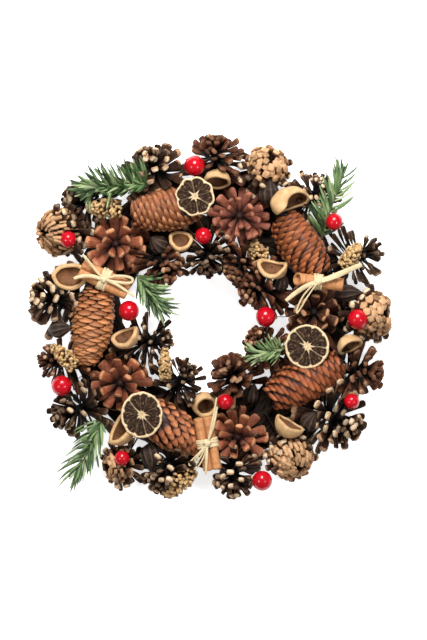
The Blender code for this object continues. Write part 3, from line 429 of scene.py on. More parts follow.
def scales(
    keep, origins, sides, aheads, reach, width, thick, bend, tones,
    blunt=0.80, corner=2.0, neck=0.42, square=0.75, stalk=0.38, hollow=0.0, wrap=0.0, sweep=0.0,
):
    """Woody scales, all those that keep says at once.

    Each runs from its origin along ahead and bends by bend times its length times the square
    of the share along. Its half width grows from neck at the root to full at blunt and closes
    in a rounded corner; its depth grows from stalk to full in the last half. hollow sinks the
    upper face, wrap curves the scale round the cone by the square of the place across, and sweep
    bends it sideways as bend does upwards.
    """
    origins, sides, aheads = (v[keep][:, None, None] for v in (origins, sides, aheads))
    ups = np.cross(aheads, sides)
    reach, width, thick, bend, tones = (
        np.broadcast_to(v, len(keep))[keep][:, None, None] for v in (reach, width, thick, bend, tones)
    )
    s = SCALE_RINGS[None, :, None]
    past = np.clip(s - blunt, 0.0, 1.0) / (1.0 - blunt)
    close = np.clip(1.0 - past**corner, 0.0, 1.0) ** (1.0 / corner)
    half = width / 2 * (neck + (1.0 - neck) * smooth(0.0, blunt, s)) * close
    deep = thick / 2 * (stalk + (1.0 - stalk) * smooth(0.45, 0.85, s)) * close**0.6
    x, y = (v[None, None, :] for v in rounded(SECTION, square))
    y = np.where(y < 0, y * 1.25, y)
    rise = bend * reach * s**2
    over = y * deep + rise - hollow * deep * (1.0 - x**2) * (y > -0.1) - wrap * (x * half) ** 2
    across = x * half + sweep * reach * s**2
    rings = origins + aheads * (reach * s)[..., None] + sides * across[..., None] + ups * over[..., None]
    end = origins + aheads * reach[..., None] + ups * (bend * reach)[..., None]
    end = end + sides * (sweep * reach)[..., None]
    marks = np.stack([np.broadcast_to(v, rings.shape[:3]) for v in (s, y, tones)], axis=-1)
    return skin(rings, origins[:, 0, 0], end[:, 0, 0], marks)


def open_cone(
    root, heading, length, radius, count, leans, reaches, width, thick, core, turn, widths, uneven,
    jitter, roll, bend=0.0, even=False, blocked=True, dull=0.0, **shape,
):
    """An open pine cone: a spindle dark with painted shade, and scales that go round it by the golden angle.

    Scale k leans from the axis by leans, reaches by a share of radius and has a share of width,
    each read off at its share along the cone; it ends before it would meet a firm piece. With
    even the leans are spread so that each tip has the same share of the ball they end on. uneven,
    jitter and roll are how much reach, lean and twist stray, and dull takes a share off every tone.
    """
    axes = frame_from(heading)
    k = np.arange(count)
    t = (k + 0.5) / count
    lean = np.interp(t, (0.0, 0.5, 1.0), leans)
    if even:
        lean = np.degrees(np.arccos(np.interp(t, (0.0, 1.0), np.cos(np.radians((leans[0], leans[-1]))))))
    lean = np.radians(lean + rng.normal(0.0, jitter, count))
    inset = 0.5 * core * (1.0 - 0.5 * t)
    full = radius * np.interp(t, (0.0, 0.5, 1.0), reaches) * (1.0 - uneven * rng.random(count)) - inset
    angle = turn + k * GOLDEN_ANGLE + rng.normal(0.0, 0.05, count)
    out = axes[0] * np.cos(angle)[:, None] + axes[1] * np.sin(angle)[:, None]
    side = np.cross(axes[2], out)
    ahead = axes[2] * np.cos(lean)[:, None] + out * np.sin(lean)[:, None]
    origin = root + axes[2] * (length * (0.10 + 0.72 * t))[:, None] + out * inset[:, None]
    reach = free_length(origin, ahead, side, width / 2, full) if blocked else full
    tones = rng.random(count) * (1.0 - dull)
    wide = width * np.interp(t, (0.0, 0.5, 1.0), widths)
    wide = wide * (0.45 + 0.55 * reach / full) * (0.88 + 0.24 * tones)
    twist = roll * rng.normal(0.0, 1.0, count)[:, None]
    side = side * np.cos(twist) + np.cross(ahead, side) * np.sin(twist)
    deep = thick * (0.8 + 0.4 * tones)
    body = scales(reach > 0.4 * full, origin, side, ahead, reach, wide, deep, bend, tones, **shape)

    # With marks of zero the spindle takes the finish's root colour, painted shade seen between the scales.
    def spindle(s, a):
        """Half an ellipse turned about the cone's axis."""
        girth = core * np.sqrt(np.clip(1.0 - (2.0 * s - 1.0) ** 2, 0.0, 1.0))
        return turned(girth, a, length * s - 1.0), (0.0, 0.0, 0.0)

    return [body, closed_form(10, 12, spindle, axes, root)]


# Pine cones seen from the tip: middle, radius, turn, number of scales, their width as a share of
# the radius, how far they reach, where the tip colour begins and ends, and the colours of root,
# blade, tip and the tip's other side
# The root colour, the first of each cone's four colours, is painted shade where the scales lie under each
# other and on the spindle.
ROSETTES = {
    "upper_left": (
        (-92.6, 71.5), 29.5, 0.3, 24, 0.40, 1.18, (0.86, 1.0),
        (0.024, 0.008, 0.006), (0.36, 0.110, 0.052), (0.66, 0.31, 0.150), (0.70, 0.37, 0.185),
    ),
    "top": (
        (28.9, 99.0), 29.0, 1.1, 34, 0.30, 1.18, (0.80, 1.0),
        (0.032, 0.011, 0.008), (0.30, 0.094, 0.056), (0.52, 0.20, 0.118), (0.59, 0.26, 0.15),
    ),
    "lower_left": (
        (-87.7, -64.7), 28.5, 2.0, 24, 0.40, 1.18, (0.86, 1.0),
        (0.022, 0.007, 0.004), (0.31, 0.088, 0.040), (0.64, 0.29, 0.13), (0.68, 0.35, 0.165),
    ),
    "bottom": (
        (27.4, -117.6), 29.0, 2.9, 25, 0.38, 1.18, (0.84, 1.0),
        (0.028, 0.009, 0.006), (0.37, 0.112, 0.054), (0.72, 0.34, 0.160), (0.78, 0.40, 0.20),
    ),
    "right": (
        (101.9, 4.9), 25.0, 3.7, 28, 0.42, 1.34, (0.86, 0.98),
        (0.009, 0.004, 0.002), (0.078, 0.023, 0.010), (0.66, 0.32, 0.15), (0.74, 0.44, 0.23),
    ),
}
ROSETTE_LENGTH = 34.0
ROSETTE_SUNK = 2.5
ROSETTE_CORE = 5.5


def rosettes():
    """The five pine cones seen from their tips."""
    for place, (middle, radius, turn, count, width, far, pales, *browns) in ROSETTES.items():
        name = "rosette_cone_" + place
        root = np.array((*middle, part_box(name)[1].z * TO_MM - ROSETTE_LENGTH - ROSETTE_SUNK))
        forms = open_cone(
            root, UP, ROSETTE_LENGTH, radius, count, (97, 78, 48), (far, 0.92 * far, 0.62),
            width * radius, 3.6, ROSETTE_CORE, turn, (1.0, 0.96, 0.60), 0.14, 11.0, 0.36, bend=0.06,
            blunt=0.90, corner=2.8, neck=0.40, square=0.6, hollow=-0.10,
        )
        finish = scale_finish(name + "_wood", *browns, pales, (0.20, 0.70), 0.55, edge=0.7)
        piece(name + "_scales", forms, finish, name)


# Dark pine cones of each run: middle, heading of the tip, radius, and what sets them apart. Ruddy
# ones are more red than black, sombre ones have few pale tips, broad ones broader scales, and
# spidery ones few slim scales that spread like a star
DARK = {
    "top": [
        ((-54.9, 146.0), (-0.2, 0.5, 0.8), 26.0, ""),
        ((5.9, 158.0), (0.0, 0.8, 0.6), 26.0, "ruddy sombre"),
        ((-2.0, 58.0), (-0.1, -0.7, 0.6), 21.0, "sombre"),
        ((30.0, 49.0), (-0.5, -0.6, 0.6), 19.0, "ruddy sombre broad"),
    ],
    "right": [
        ((103.0, 119.0), (0.5, 0.6, 0.6), 25.0, "spidery"),
        ((146.0, 60.0), (0.9, 0.3, 0.4), 26.0, "sombre spidery"),
        ((48.0, 26.5), (-0.8, -0.1, 0.6), 22.0, "ruddy sombre broad"),
    ],
    "low_right": [
        ((146.0, -52.9), (0.8, -0.1, 0.6), 27.0, "ruddy sombre"),
        ((124.0, -102.0), (0.7, -0.5, 0.6), 29.0, ""),
        ((50.0, -29.0), (-0.7, 0.4, 0.6), 20.0, "ruddy sombre"),
        ((22.0, -59.0), (-0.4, 0.6, 0.6), 25.0, "ruddy sombre broad"),
    ],
    "low_left": [
        ((23.5, -155.0), (0.0, -0.8, 0.5), 25.0, ""),
        ((-42.0, -150.0), (-0.3, -0.7, 0.6), 27.0, ""),
        ((-130.0, -92.0), (-0.8, -0.3, 0.6), 28.0, "sombre"),
        ((-29.0, -63.0), (0.5, 0.6, 0.7), 25.0, "sombre spidery"),
    ],
    "left": [
        ((-150.0, -44.0), (-0.9, 0.0, 0.4), 21.0, "ruddy sombre spidery"),
        ((-153.0, 18.0), (-0.8, 0.1, 0.6), 30.0, ""),
        ((-124.0, 114.0), (-0.9, 0.3, 0.1), 23.0, "sombre"),
        ((-47.0, 52.0), (0.4, -0.6, 0.7), 25.0, "ruddy sombre"),
        ((-57.0, -24.0), (0.8, 0.1, 0.6), 24.0, "sombre spidery"),
    ],
}
# Number of a dark cone's scales, their width as a share of the radius, and depth
USUAL_SCALES = (74, 0.29, 4.4)
BROAD_SCALES = (74, 0.34, 4.2)
SPIDERY_SCALES = (60, 0.21, 3.6)
SOMBRE_SHARE = 0.34
DARK_Z = 34.0
DARK_CORE = 5.5
# Tan pine cones: middle, heading of the tip, radius, number of scales, width and depth of their
# outer ends as shares of the radius, how uneven they are, and how the dark scales in the mouth lean
TAN = {
    "top": ((55.0, 147.0), (0.35, 0.6, 0.75), 22.0, 76, 0.290, 0.265, 0.19, (84, 60, 18)),
    "right": ((160.0, 2.0), (0.75, 0.1, 0.65), 24.0, 86, 0.300, 0.235, 0.17, (84, 60, 18)),
    "low_right": ((80.0, -138.0), (0.4, -0.55, 0.75), 23.0, 108, 0.170, 0.40, 0.20, (84, 60, 18)),
    "low_left": ((-86.0, -144.5), (-0.9, -0.2, 0.35), 19.0, 56, 0.54, 0.17, 0.12, (118, 78, 18)),
    "left": ((-148.0, 84.0), (-0.8, -0.1, 0.6), 24.0, 150, 0.125, 0.34, 0.26, (84, 60, 18)),
}
TAN_Z = 34.0
TAN_LIFT = 8.0
TIE_RADIUS = 108.0
TIE_WIRE_Z = 18.85
TIE_WIRE_HALF = 0.8


def tie_wire(hearts):
    """The wire of a run: an arc on the ring, and a straight way from it to each cone's heart."""
    angles = np.arctan2(hearts[:, 1], hearts[:, 0])
    middle = math.atan2(np.sin(angles).sum(), np.cos(angles).sum())
    offsets = half_turn(angles - middle)
    arc = middle + np.linspace(offsets.min(), offsets.max(), 60)
    forms = [strip(turned(TIE_RADIUS, arc, TIE_WIRE_Z), TIE_WIRE_HALF, TIE_WIRE_HALF, 6)]
    for heart, angle in zip(hearts, angles):
        rise = np.linspace((heart[0], heart[1], TIE_WIRE_Z), heart, 4)
        path = np.array([turned(TIE_RADIUS, angle, TIE_WIRE_Z), *rise])
        forms.append(strip(path, TIE_WIRE_HALF, TIE_WIRE_HALF, 6, (0.3, 0.8, 0.5)))
    return forms


def dark_cone(number, middle, heading, radius, kind):
    """One dark cone of a run, and its heart, where its tie wire holds it."""
    toward = unit(heading)
    length = 1.45 * radius
    root = np.array((*middle, DARK_Z - 22.0 * (0.6 - toward[2]))) - toward * length * 0.5
    count, width, thick = SPIDERY_SCALES if "spidery" in kind else USUAL_SCALES
    if "broad" in kind:
        count, width, thick = BROAD_SCALES
    forms = open_cone(
        root, toward, length, radius, count, (134, 86, 20), (1.74, 1.26, 0.66), width * radius,
        thick, DARK_CORE, 1.3 * number, (1.0, 1.0, 0.72), 0.30, 13.0, 0.34, bend=0.08,
        dull=SOMBRE_SHARE if "sombre" in kind else 0.0, blunt=0.92, corner=3.0, neck=0.36,
        square=0.6, stalk=0.26, hollow=0.2,
    )
    return forms, root + toward * length * 0.35


def small_cones():
    """Dark open cones with pale tips, and the tan ones that show their stem ends."""
    # The first colour of each finish here is painted shade, at the scales' roots where they lie under each
    # other and on the spindles; the near-black one serves the dark and ruddy cones.
    root_shade_black = (0.0045, 0.003, 0.0025)
    dark = scale_finish(
        "dark_cone_wood", root_shade_black, (0.046, 0.018, 0.009), (0.52, 0.31, 0.17), (0.88, 0.67, 0.44),
        (0.88, 0.95), (0.3, 0.8), 0.5, 0.66, edge=0.30, shy=0.58, gloss=0.10,
    )
    ruddy = scale_finish(
        "ruddy_cone_wood", root_shade_black, (0.150, 0.048, 0.022), (0.42, 0.20, 0.10), (0.62, 0.40, 0.24),
        (0.86, 0.96), (0.30, 0.82), 0.5, 0.66, edge=0.40, shy=0.56, gloss=0.12, varied=1.2,
    )
    tan = scale_finish(
        "tan_cone_wood", (0.022, 0.011, 0.007), (0.34, 0.165, 0.075), (0.70, 0.44, 0.235),
        (0.64, 0.38, 0.20), (0.90, 0.99), (0.66, 0.93), 0.35, 0.74, gloss=0.12,
    )
    wire = plain_finish("tie_wire_brown", (0.02, 0.012, 0.008), (0.05, 0.03, 0.02))
    for run, cones in DARK.items():
        hearts, dark_forms, ruddy_forms = [], [], []
        for number, (middle, heading, radius, kind) in enumerate(cones):
            forms, heart = dark_cone(number, middle, heading, radius, kind)
            hearts.append(heart)
            if "ruddy" in kind:
                ruddy_forms += forms
            else:
                dark_forms += forms
        middle, heading, radius, count, width, thick, uneven, leans = TAN[run]
        toward = unit(heading)
        root = np.array((*middle, TAN_Z)) + toward * TAN_LIFT
        hearts.append(root - toward * 1.1 * radius * 0.35)
        tan_forms = open_cone(
            root, -toward, 0.5 * radius, radius, count, (179, 110, 62), (0.90, 1.0, 1.04),
            width * radius, thick * radius, 0.5 * radius, 0.0, (1.0, 0.94, 0.80), uneven, 2.4, 0.10,
            even=True, blunt=0.94, corner=6.0, neck=0.6, square=0.30, stalk=0.6,
        )
        dark_forms += open_cone(
            root, -toward, 0.6 * radius, radius, 44, leans, (1.25, 1.60, 1.50), 0.30 * radius, 4.4,
            0.3 * radius, 0.4, (1.0, 1.0, 1.0), 0.30, 9.0, 0.3,
            blunt=0.91, corner=3.2, neck=0.4, square=0.5, stalk=0.26,
        )
        node = "pine_cones_" + run
        piece("dark_cones_" + run, dark_forms, dark, node)
        if ruddy_forms:
            piece("ruddy_cones_" + run, ruddy_forms, ruddy, node)
        piece("tan_cone_" + run, tan_forms, tan, node)
        piece("tie_wire_" + run, tie_wire(np.array(hearts)), wire, node)


# Long closed cones: tip and stem end, then of their scales the number, width, length, depth, lift
# and downward curve, where they are widest and how square their free ends are, the turn from one to
# the next in degrees, the turn of each in its own plane and about its own length, where the painted
# root shade ends, and the colours of blade and tip
LONG_CONES = {
    "top": (
        (-82.0, 99.8), (-10.0, 109.6), 140, 6.8, 17.0, 2.8, 0.16, -0.40, 0.50, 1.6, -137.8, -1.34, 0.06,
        (0.16, 0.50), (0.31, 0.100, 0.036), (0.54, 0.25, 0.110),
    ),
    "left": (
        (-122.5, -46.1), (-109.0, 30.0), 160, 17.0, 12.6, 1.1, 0.66, -0.12, 0.72, 2.0, 137.5, 0.00, 0.04,
        (0.28, 0.66), (0.37, 0.122, 0.040), (0.65, 0.29, 0.112),
    ),
    "upper_right": (
        (67.0, 104.0), (107.5, 40.0), 128, 6.9, 18.5, 3.0, 0.15, -0.42, 0.50, 1.6, 137.4, 1.50, 0.06,
        (0.16, 0.50), (0.31, 0.086, 0.026), (0.49, 0.175, 0.058),
    ),
    "right": (
        (134.5, -41.0), (59.0, -79.4), 130, 6.8, 18.5, 3.0, 0.15, -0.42, 0.50, 1.6, 137.4, 1.46, 0.06,
        (0.16, 0.50), (0.34, 0.089, 0.027), (0.54, 0.188, 0.064),
    ),
    "bottom": (
        (-9.0, -128.5), (-70.0, -88.0), 140, 7.8, 15.0, 2.4, 0.30, -0.20, 0.52, 1.7, 139.4, 0.52, 0.10,
        (0.28, 0.66), (0.43, 0.140, 0.050), (0.72, 0.31, 0.132),
    ),
}
LONG_RADIUS = 21.5
SLICE_CLEAR = 2.2


def long_cones():
    """Spruce cones: flat scales in spirals lie on a spindle and lift their free ends off it.

    Those that would come too near a citrus slice are left out.
    """
    for place, (tip, stem, count, width, reach, thick, lift, curve, *rest) in LONG_CONES.items():
        widest, corner, step, skew, tip_over, root_shade_span, blade, pale = rest
        name = "long_cone_" + place
        height = middle_of(name)[2]
        tip, stem = np.array((*tip, height)), np.array((*stem, height))
        length = np.linalg.norm(tip - stem)
        axes = frame_from(tip - stem)
        k = np.arange(count)
        u = (k + 0.5) / count * 0.93 - 0.02

        def girth(s):
            """Radius of the spindle at a share along it: a power of half a sine wave."""
            return (LONG_RADIUS - 8.0 * lift) * arch(0.15 + 0.80 * s) ** 0.62

        angle = k * math.radians(step) + rng.normal(0.0, 0.025, count)
        out = axes[0] * np.cos(angle)[:, None] + axes[1] * np.sin(angle)[:, None]
        slope = ((girth(u + 0.05) - girth(u - 0.05)) / (0.10 * length))[:, None]
        along = unit(axes[2] + out * slope)
        normal = unit(out - axes[2] * slope)
        ahead = unit(along + normal * (lift + 0.06 * rng.normal(0.0, 1.0, count))[:, None])
        hand = math.copysign(1.0, step)
        side = unit(np.cross(axes[2], out)) * hand
        c, s = math.cos(skew), math.sin(skew)
        ahead, side = ahead * c + side * s, side * c - ahead * s
        tipped = side * math.cos(tip_over) + np.cross(ahead, side) * hand * math.sin(tip_over)
        side = -hand * unit(tipped)
        size = 0.50 + 0.50 * arch(0.14 + 0.78 * u)
        origin = stem + axes[2] * (u * length)[:, None] + out * (girth(u) - 1.2)[:, None]
        full = reach * size * rng.uniform(0.88, 1.08, count)
        ends = origin + ahead * full[:, None] + np.cross(ahead, side) * (curve * full)[:, None]
        halfway = 0.5 * (ends + origin)
        near = [[slices.find_nearest(Vector(p))[3] for p in pair] for pair in zip(ends, halfway)]
        plates = scales(
            np.min(near, axis=1) > SLICE_CLEAR, origin, side, ahead, full, width * size, thick, curve,
            rng.random(count), blunt=widest, corner=corner, neck=0.55, hollow=-0.9, wrap=0.026,
        )

        # With marks of zero the spindle takes the root colour, painted shade seen between the rows of scales.
        def spindle(s, a):
            """The scales' own spindle, a little thinner."""
            close = np.sqrt(np.clip(1.0 - (2.0 * s - 1.0) ** 8, 0.0, 1.0))
            return turned(np.clip(girth(s) - 1.0, 0.0, None) * close, a, length * s * 0.96), (0.0, 0.0, 0.0)

        # The first colour is painted shade at the scale roots and on the spindle, dark between the rows.
        finish = scale_finish(
            name + "_wood", (0.028, 0.008, 0.005), blade, pale, blade, (0.66, 1.0), root_shade_span, 0.40, 0.50,
            edge=0.30, gloss=0.30,
        )
        piece(name + "_scales", [plates, closed_form(16, 20, spindle, axes, stem)], finish, name)


# Golden cones: middle, heading of the tip, length, width
GOLDEN = {
    "upper_left": ((-104.9, 106.8), (-1.0, 0.05, 0.1), 40.0, 20.0),
    "right_inner": ((46.5, 62.2), (-0.3, 1.0, 0.2), 29.0, 23.0),
    "right": ((139.2, 60.8), (0.75, 1.0, 0.2), 32.0, 17.0),
    "left": ((-144.1, -38.2), (-1.0, 0.9, 0.1), 38.0, 17.0),
    "inner": ((-44.1, -45.1), (0.0, 1.0, 0.1), 42.0, 13.0),
    "bottom": ((-31.4, -163.7), (-1.0, -1.0, 0.1), 42.0, 21.0),
}


def golden_cones():
    """Small cones of blunt lumps: short thick scales on a slim spindle."""
    # The first colour is painted shade at the lumps' roots and on the spindle, dark between the lumps.
    finish = scale_finish(
        "golden_cone_wood", (0.07, 0.028, 0.012), (0.42, 0.220, 0.085), (0.80, 0.58, 0.31),
        (0.62, 0.40, 0.17), (0.60, 0.96), (0.3, 0.8), 0.4, 0.42,
    )
    for place, (middle, heading, length, width) in GOLDEN.items():
        name = "golden_cone_" + place
        heading = unit(heading)
        root = np.array((*middle, middle_of(name)[2])) - heading * length * 0.50
        forms = open_cone(
            root, heading, length, width * 0.58, 150, (98, 72, 20), (0.90, 1.04, 0.60), 3.8, 2.8,
            0.26 * width, 0.7, (1.0, 1.0, 0.8), 0.28, 18.0, 0.6, bend=0.10, blocked=False,
            blunt=0.74, corner=2.0, neck=0.5,
        )
        piece(name + "_lumps", forms, finish, name)


# Shell cups: heading of the opening, half sizes, depth, turn of the long side in degrees, how many
# sixths of the shell are cut away, how far the rim rises at its long ends, how far it curls over
# and from which side, and the wall. A cup without a turn has its wide side to the front
CUPS = {
    "left_upper": ((0.1, 0.1, 1.0), 18.0, 13.5, 11.0, 5, 3, 0.10, 0.0, 0.0, 4.2),
    "top_inner": ((0.1, 0.6, 0.8), 12.0, 12.0, 12.0, 0, 3, 0.10, 0.0, 0.0, 3.6),
    "top": ((0.0, -0.75, 0.65), 13.5, 12.0, 12.0, 0, 3, 0.05, 0.35, 0.0, 3.0),
    "upper_right": ((0.35, -0.62, 0.70), 20.0, 14.5, 13.0, 15, 3, 0.30, 1.0, 0.85, 3.0),
    "right_inner": ((-0.05, 0.84, 0.54), 15.5, 12.0, 11.0, -12, 3, 0.40, 0.42, 0.0, 4.0),
    "left_lower": ((-0.50, 0.70, 0.55), 15.0, 13.5, 13.0, 15, 3, 0.15, 0.0, 0.0, 4.4),
    "lower_left": ((-0.60, 0.42, 0.68), 16.5, 12.0, 18.0, 66, 3, 0.10, 0.0, 0.0, 4.2),
    "bottom_inner": ((0.25, -0.45, 0.85), 13.3, 13.0, 13.0, 0, 2, 0.05, 0.0, 0.0, 4.2),
    "right": ((0.40, -0.72, 0.50), 13.0, 12.5, 11.0, 20, 3, 0.10, 0.30, 0.0, 3.0),
    "low_right": ((0.50, 0.85, 0.10), 15.5, 12.5, 16.0, None, 3, 0.02, -0.30, 0.0, 3.0),
}


def cup_finish():
    """Cream tan outside and on the rim, brown inside, with fine fibres round it."""
    f = Finish("cup_shell")
    along, inside, tone = f.marks()
    cloud = f.noise(160.0, 5.0)
    fibre = f.streaks((along, inside, tone), (30.0, 1.0, 1.0), 3.0)
    outer = f.ramp(cloud, (0.25, (0.42, 0.23, 0.10)), (0.55, (0.58, 0.37, 0.18)), (0.8, (0.68, 0.47, 0.25)))
    inner = f.ramp(cloud, (0.25, (0.040, 0.013, 0.005)), (0.75, (0.22, 0.085, 0.030)))
    colour = f.blend(f.spread(inside, 0.30, 0.80), outer, inner)
    colour = f.blend(f.spread(fibre, 0.3, 0.7, 0.25, 0.0), colour, (0.30, 0.16, 0.07))
    height = f.maths("ADD", f.times(fibre, 0.5), f.noise(900.0))
    return f.done(colour, f.spread(cloud, 0.3, 0.7, 0.5, 0.72), (height, 0.0005, 0.6), 0.2)


def shell_cups():
    """Bowls with a wall: out along an ellipsoid to the wavy rim, round it, and back down inside."""
    finish = cup_finish()
    for number, (place, form_of) in enumerate(CUPS.items()):
        heading, long_half, wide_half, depth, turn, cut, horns, hood, from_side, wall_thick = form_of
        angle = math.radians(turn or 0.0)
        axes = frame_from(heading, UP if turn is None else (-math.sin(angle), math.cos(angle), 0.0))
        stop = math.pi * (1.0 - cut / 6.0)
        size = np.array((long_half, wide_half, depth))

        def bowl(t, a):
            """Angle from the bottom grows to the rim over the first half of t and shrinks over the second."""
            share = np.where(t < 0.5, t / 0.48, (1.0 - t) / 0.48)
            curl = hood * (0.5 + 0.5 * np.sin(a - from_side)) ** 2
            at = (stop + curl) * np.clip(share, 0.0, 1.0)
            wall = wall_thick * smooth(0.470, 0.53, t)
            swell = 1.0 + 0.025 * np.sin(3 * a + number) + 0.015 * np.sin(7 * a + 2.1 * number)
            lip = (horns * np.cos(2 * a) + 0.02 * np.sin(5 * a + number)) * smooth(0.55, 1.0, share)
            local = turned(np.sin(at) * swell, a, -np.cos(at) + lip) * (size - wall[..., None])
            local[..., 2] += 0.9 * bell(t - 0.5, 0.03)
            return local, (a / ABOUT_TURN, smooth(0.505, 0.575, t), number * 0.1)

        name = "shell_cup_" + place
        piece(name + "_shell", [centred(closed_form(44, 40, bowl, axes), name)], finish, name)


# Pods: heading of the point, length, width
PODS = {
    "top": ((0.1, 1.0, 0.3), 31.0, 22.0),
    "right_inner": ((0.3, 0.8, 0.5), 22.0, 17.0),
    "right": ((1.0, 0.0, 0.15), 31.0, 18.5),
    "left": ((1.0, 0.1, 0.2), 26.0, 18.0),
    "low_left": ((0.1, -1.0, 0.2), 31.0, 20.0),
    "upper_left": ((-0.5, 0.5, 0.7), 25.0, 20.0),
    "low_right_inner": ((0.3, 0.8, 0.4), 24.0, 17.0),
    "low_right": ((0.4, 0.6, 0.6), 27.0, 20.0),
}
# Share along a pod, and its girth there as a share of the widest
POD_PROFILE = (
    (0.0, 0.04, 0.12, 0.25, 0.40, 0.58, 0.78, 0.93, 1.0),
    (0.0, 0.22, 0.62, 0.93, 1.0, 0.88, 0.50, 0.14, 0.0),
)


def pod_finish():
    """Dark husk, dusty along its ridges, with lines from end to end."""
    f = Finish("pod_shell")
    along, ridge, tone = f.marks()
    cloud = f.noise(220.0, 5.0)
    colour = f.ramp(
        cloud, (0.3, (0.012, 0.007, 0.005)), (0.6, (0.038, 0.022, 0.015)), (0.85, (0.085, 0.054, 0.038))
    )
    colour = f.blend(f.spread(ridge, 0.60, 1.0, 0.0, 0.35), colour, (0.18, 0.118, 0.086))
    grain = f.streaks((along, tone, ridge), (2.0, 60.0, 1.0), 5.0)
    return f.done(colour, f.spread(cloud, 0.3, 0.7, 0.36, 0.58), (grain, 0.0006, 0.8), 0.18)


def pods():
    """Dark pods: a spindle widest near the stem, its girth raised by nine ridges and fine grooves."""
    finish = pod_finish()
    for number, (place, (heading, length, width)) in enumerate(PODS.items()):

        def pod(t, a):
            """Girth along the axis times one plus the ridges, which lean a little round it."""
            lean = a + 0.5 * t + number
            ridge = np.abs(np.cos(4.5 * lean)) ** 2
            girth = width / 2 * np.interp(t, *POD_PROFILE) * (0.86 + 0.12 * ridge + 0.02 * np.sin(27 * lean))
            return turned(girth, a, (t - 0.5) * length * 0.98), (t, ridge, a / ABOUT_TURN)

        name = "pod_" + place
        form = closed_form(30, 72, pod, frame_from(heading))
        piece(name + "_husk", [centred(form, name)], finish, name)


# Citrus slices: middle, radii, tilt in degrees and its heading, number of segments, turn, waves of
# the edge
CITRUS = {
    "top": ((-14.7, 117.6), 19.2, 19.2, 6, 200, 8, 0.2, 0.035),
    "lower_left": ((-66.6, -95.6), 20.5, 23.0, 5, 30, 10, 0.5, 0.008),
    "right": ((94.9, -28.9), 21.9, 21.9, 6, 120, 9, 0.0, 0.006),
}
CITRUS_THICK = 3.2


def citrus_finish():
    """Dried fruit: dark flesh with pale cells drawn out from the middle, and cream peel and walls."""
    f = Finish("citrus_dried")
    pale, out, around = f.marks()
    cloud = f.noise(420.0, 5.0)
    cells = f.streaks((out, around, 0.0), (1.0, 1.6, 1.0), 1.6, 4.0)
    flesh = f.ramp(
        cloud, (0.35, (0.006, 0.003, 0.002)), (0.6, (0.030, 0.013, 0.007)), (0.85, (0.13, 0.070, 0.034))
    )
    flesh = f.blend(f.spread(cells, 0.52, 0.74, 0.0, 0.8), flesh, (0.30, 0.185, 0.095))
    cream = f.ramp(cloud, (0.3, (0.62, 0.43, 0.23)), (0.7, (0.80, 0.63, 0.41)))
    height = f.maths("ADD", f.noise(700.0), f.times(cells, 1.4))
    shine = f.spread(pale, 0.0, 1.0, 0.55, 0.70)
    return f.done(f.blend(pale, flesh, cream), shine, (height, 0.0008, 1.0), 0.10)


def citrus_slices():
    """Dried slices: a round of peel, thin walls between sunken segments, and a pale star in the middle."""
    finish = citrus_finish()
    for place, (middle, rx, ry, tilt, heading, segments, turn, waves) in CITRUS.items():
        name = "citrus_slice_" + place
        middle = np.array((*middle, middle_of(name)[2]))
        a1, h1 = math.radians(tilt), math.radians(heading)
        normal = (math.sin(a1) * math.cos(h1), math.sin(a1) * math.sin(h1), math.cos(a1))
        spokes = (np.arange(segments) + rng.uniform(-0.14, 0.14, segments)) * 2 * math.pi / segments + turn
        strong = rng.uniform(0.0, 1.0, segments) ** 2.2
        bow = rng.uniform(-0.22, 0.22, segments)
        star_reach = rng.uniform(0.16, 0.42, segments)

        def slice_form(t, a):
            """t runs over the back, round the peel and over the front, as high as rim, walls and star.

            A wall fades as the bell curve of the distance to it and swings by the square of the way
            out; the peel comes further in at a wall.
            """
            front = t > 0.5
            out = np.clip(np.where(front, (1.0 - t) / 0.48, t / 0.48), 0.0, 1.0)
            apart = np.abs(half_turn(a[..., None] - (spokes + bow * out[..., None] ** 2)))
            nearest = apart.argmin(axis=-1)
            gap = apart.min(axis=-1) * out * (rx + ry) / 2
            wall = bell(gap, 0.38) * smooth(0.02, 0.2, out)
            star_end = 0.13 + (star_reach[nearest] - 0.13) * bell(gap, 0.9)
            star = 1.0 - smooth(star_end - 0.05, star_end + 0.04, out)
            inner_edge = 0.905 - 0.07 * bell(gap, 1.4)
            rim = smooth(inner_edge - 0.02, inner_edge + 0.025, out)
            scallop = 1.0 - waves * np.cos(segments * (a - turn)) + 0.006 * np.sin(13 * a)
            edge = np.sqrt(np.clip(1.0 - (np.clip(out - 0.93, 0.0, 1.0) / 0.07) ** 2, 0.0, 1.0))
            pillow = 0.10 * arch(out / 0.88) * (1.0 - wall)
            top = 0.14 + 0.32 * rim + 0.22 * wall + 0.22 * star + pillow
            height = top * edge * CITRUS_THICK * np.where(front, 1.0, -1.0)
            reach = out * scallop * 0.985
            pale = np.maximum(np.maximum(rim, star), wall * (0.04 + 0.60 * strong[nearest]))
            marks = (np.clip(pale, 0.0, 1.0), out * 3.0, a * 4.0)
            return turned(rx * reach, a, height, ry * reach), marks

        form = closed_form(96, 200, slice_form, frame_from(normal, (0, 1, 0)), middle)
        piece(name + "_dried", [form], finish, name)


# Cinnamon: two ends, radius of a stick, how many lie side by side, slant of the first mouth
CINNAMON = {
    "left": ((-127.4, 48.0), (-79.4, 25.5), 5.0, 2, 0.15),
    "right": ((80.3, 37.4), (130.4, 31.2), 6.6, 1, 0.65),
    "bottom": ((-7.5, -97.0), (2.6, -150.0), 4.8, 2, 0.15),
}
MOUTH_DEPTH = 6.0
BARK_THICK = 1.9
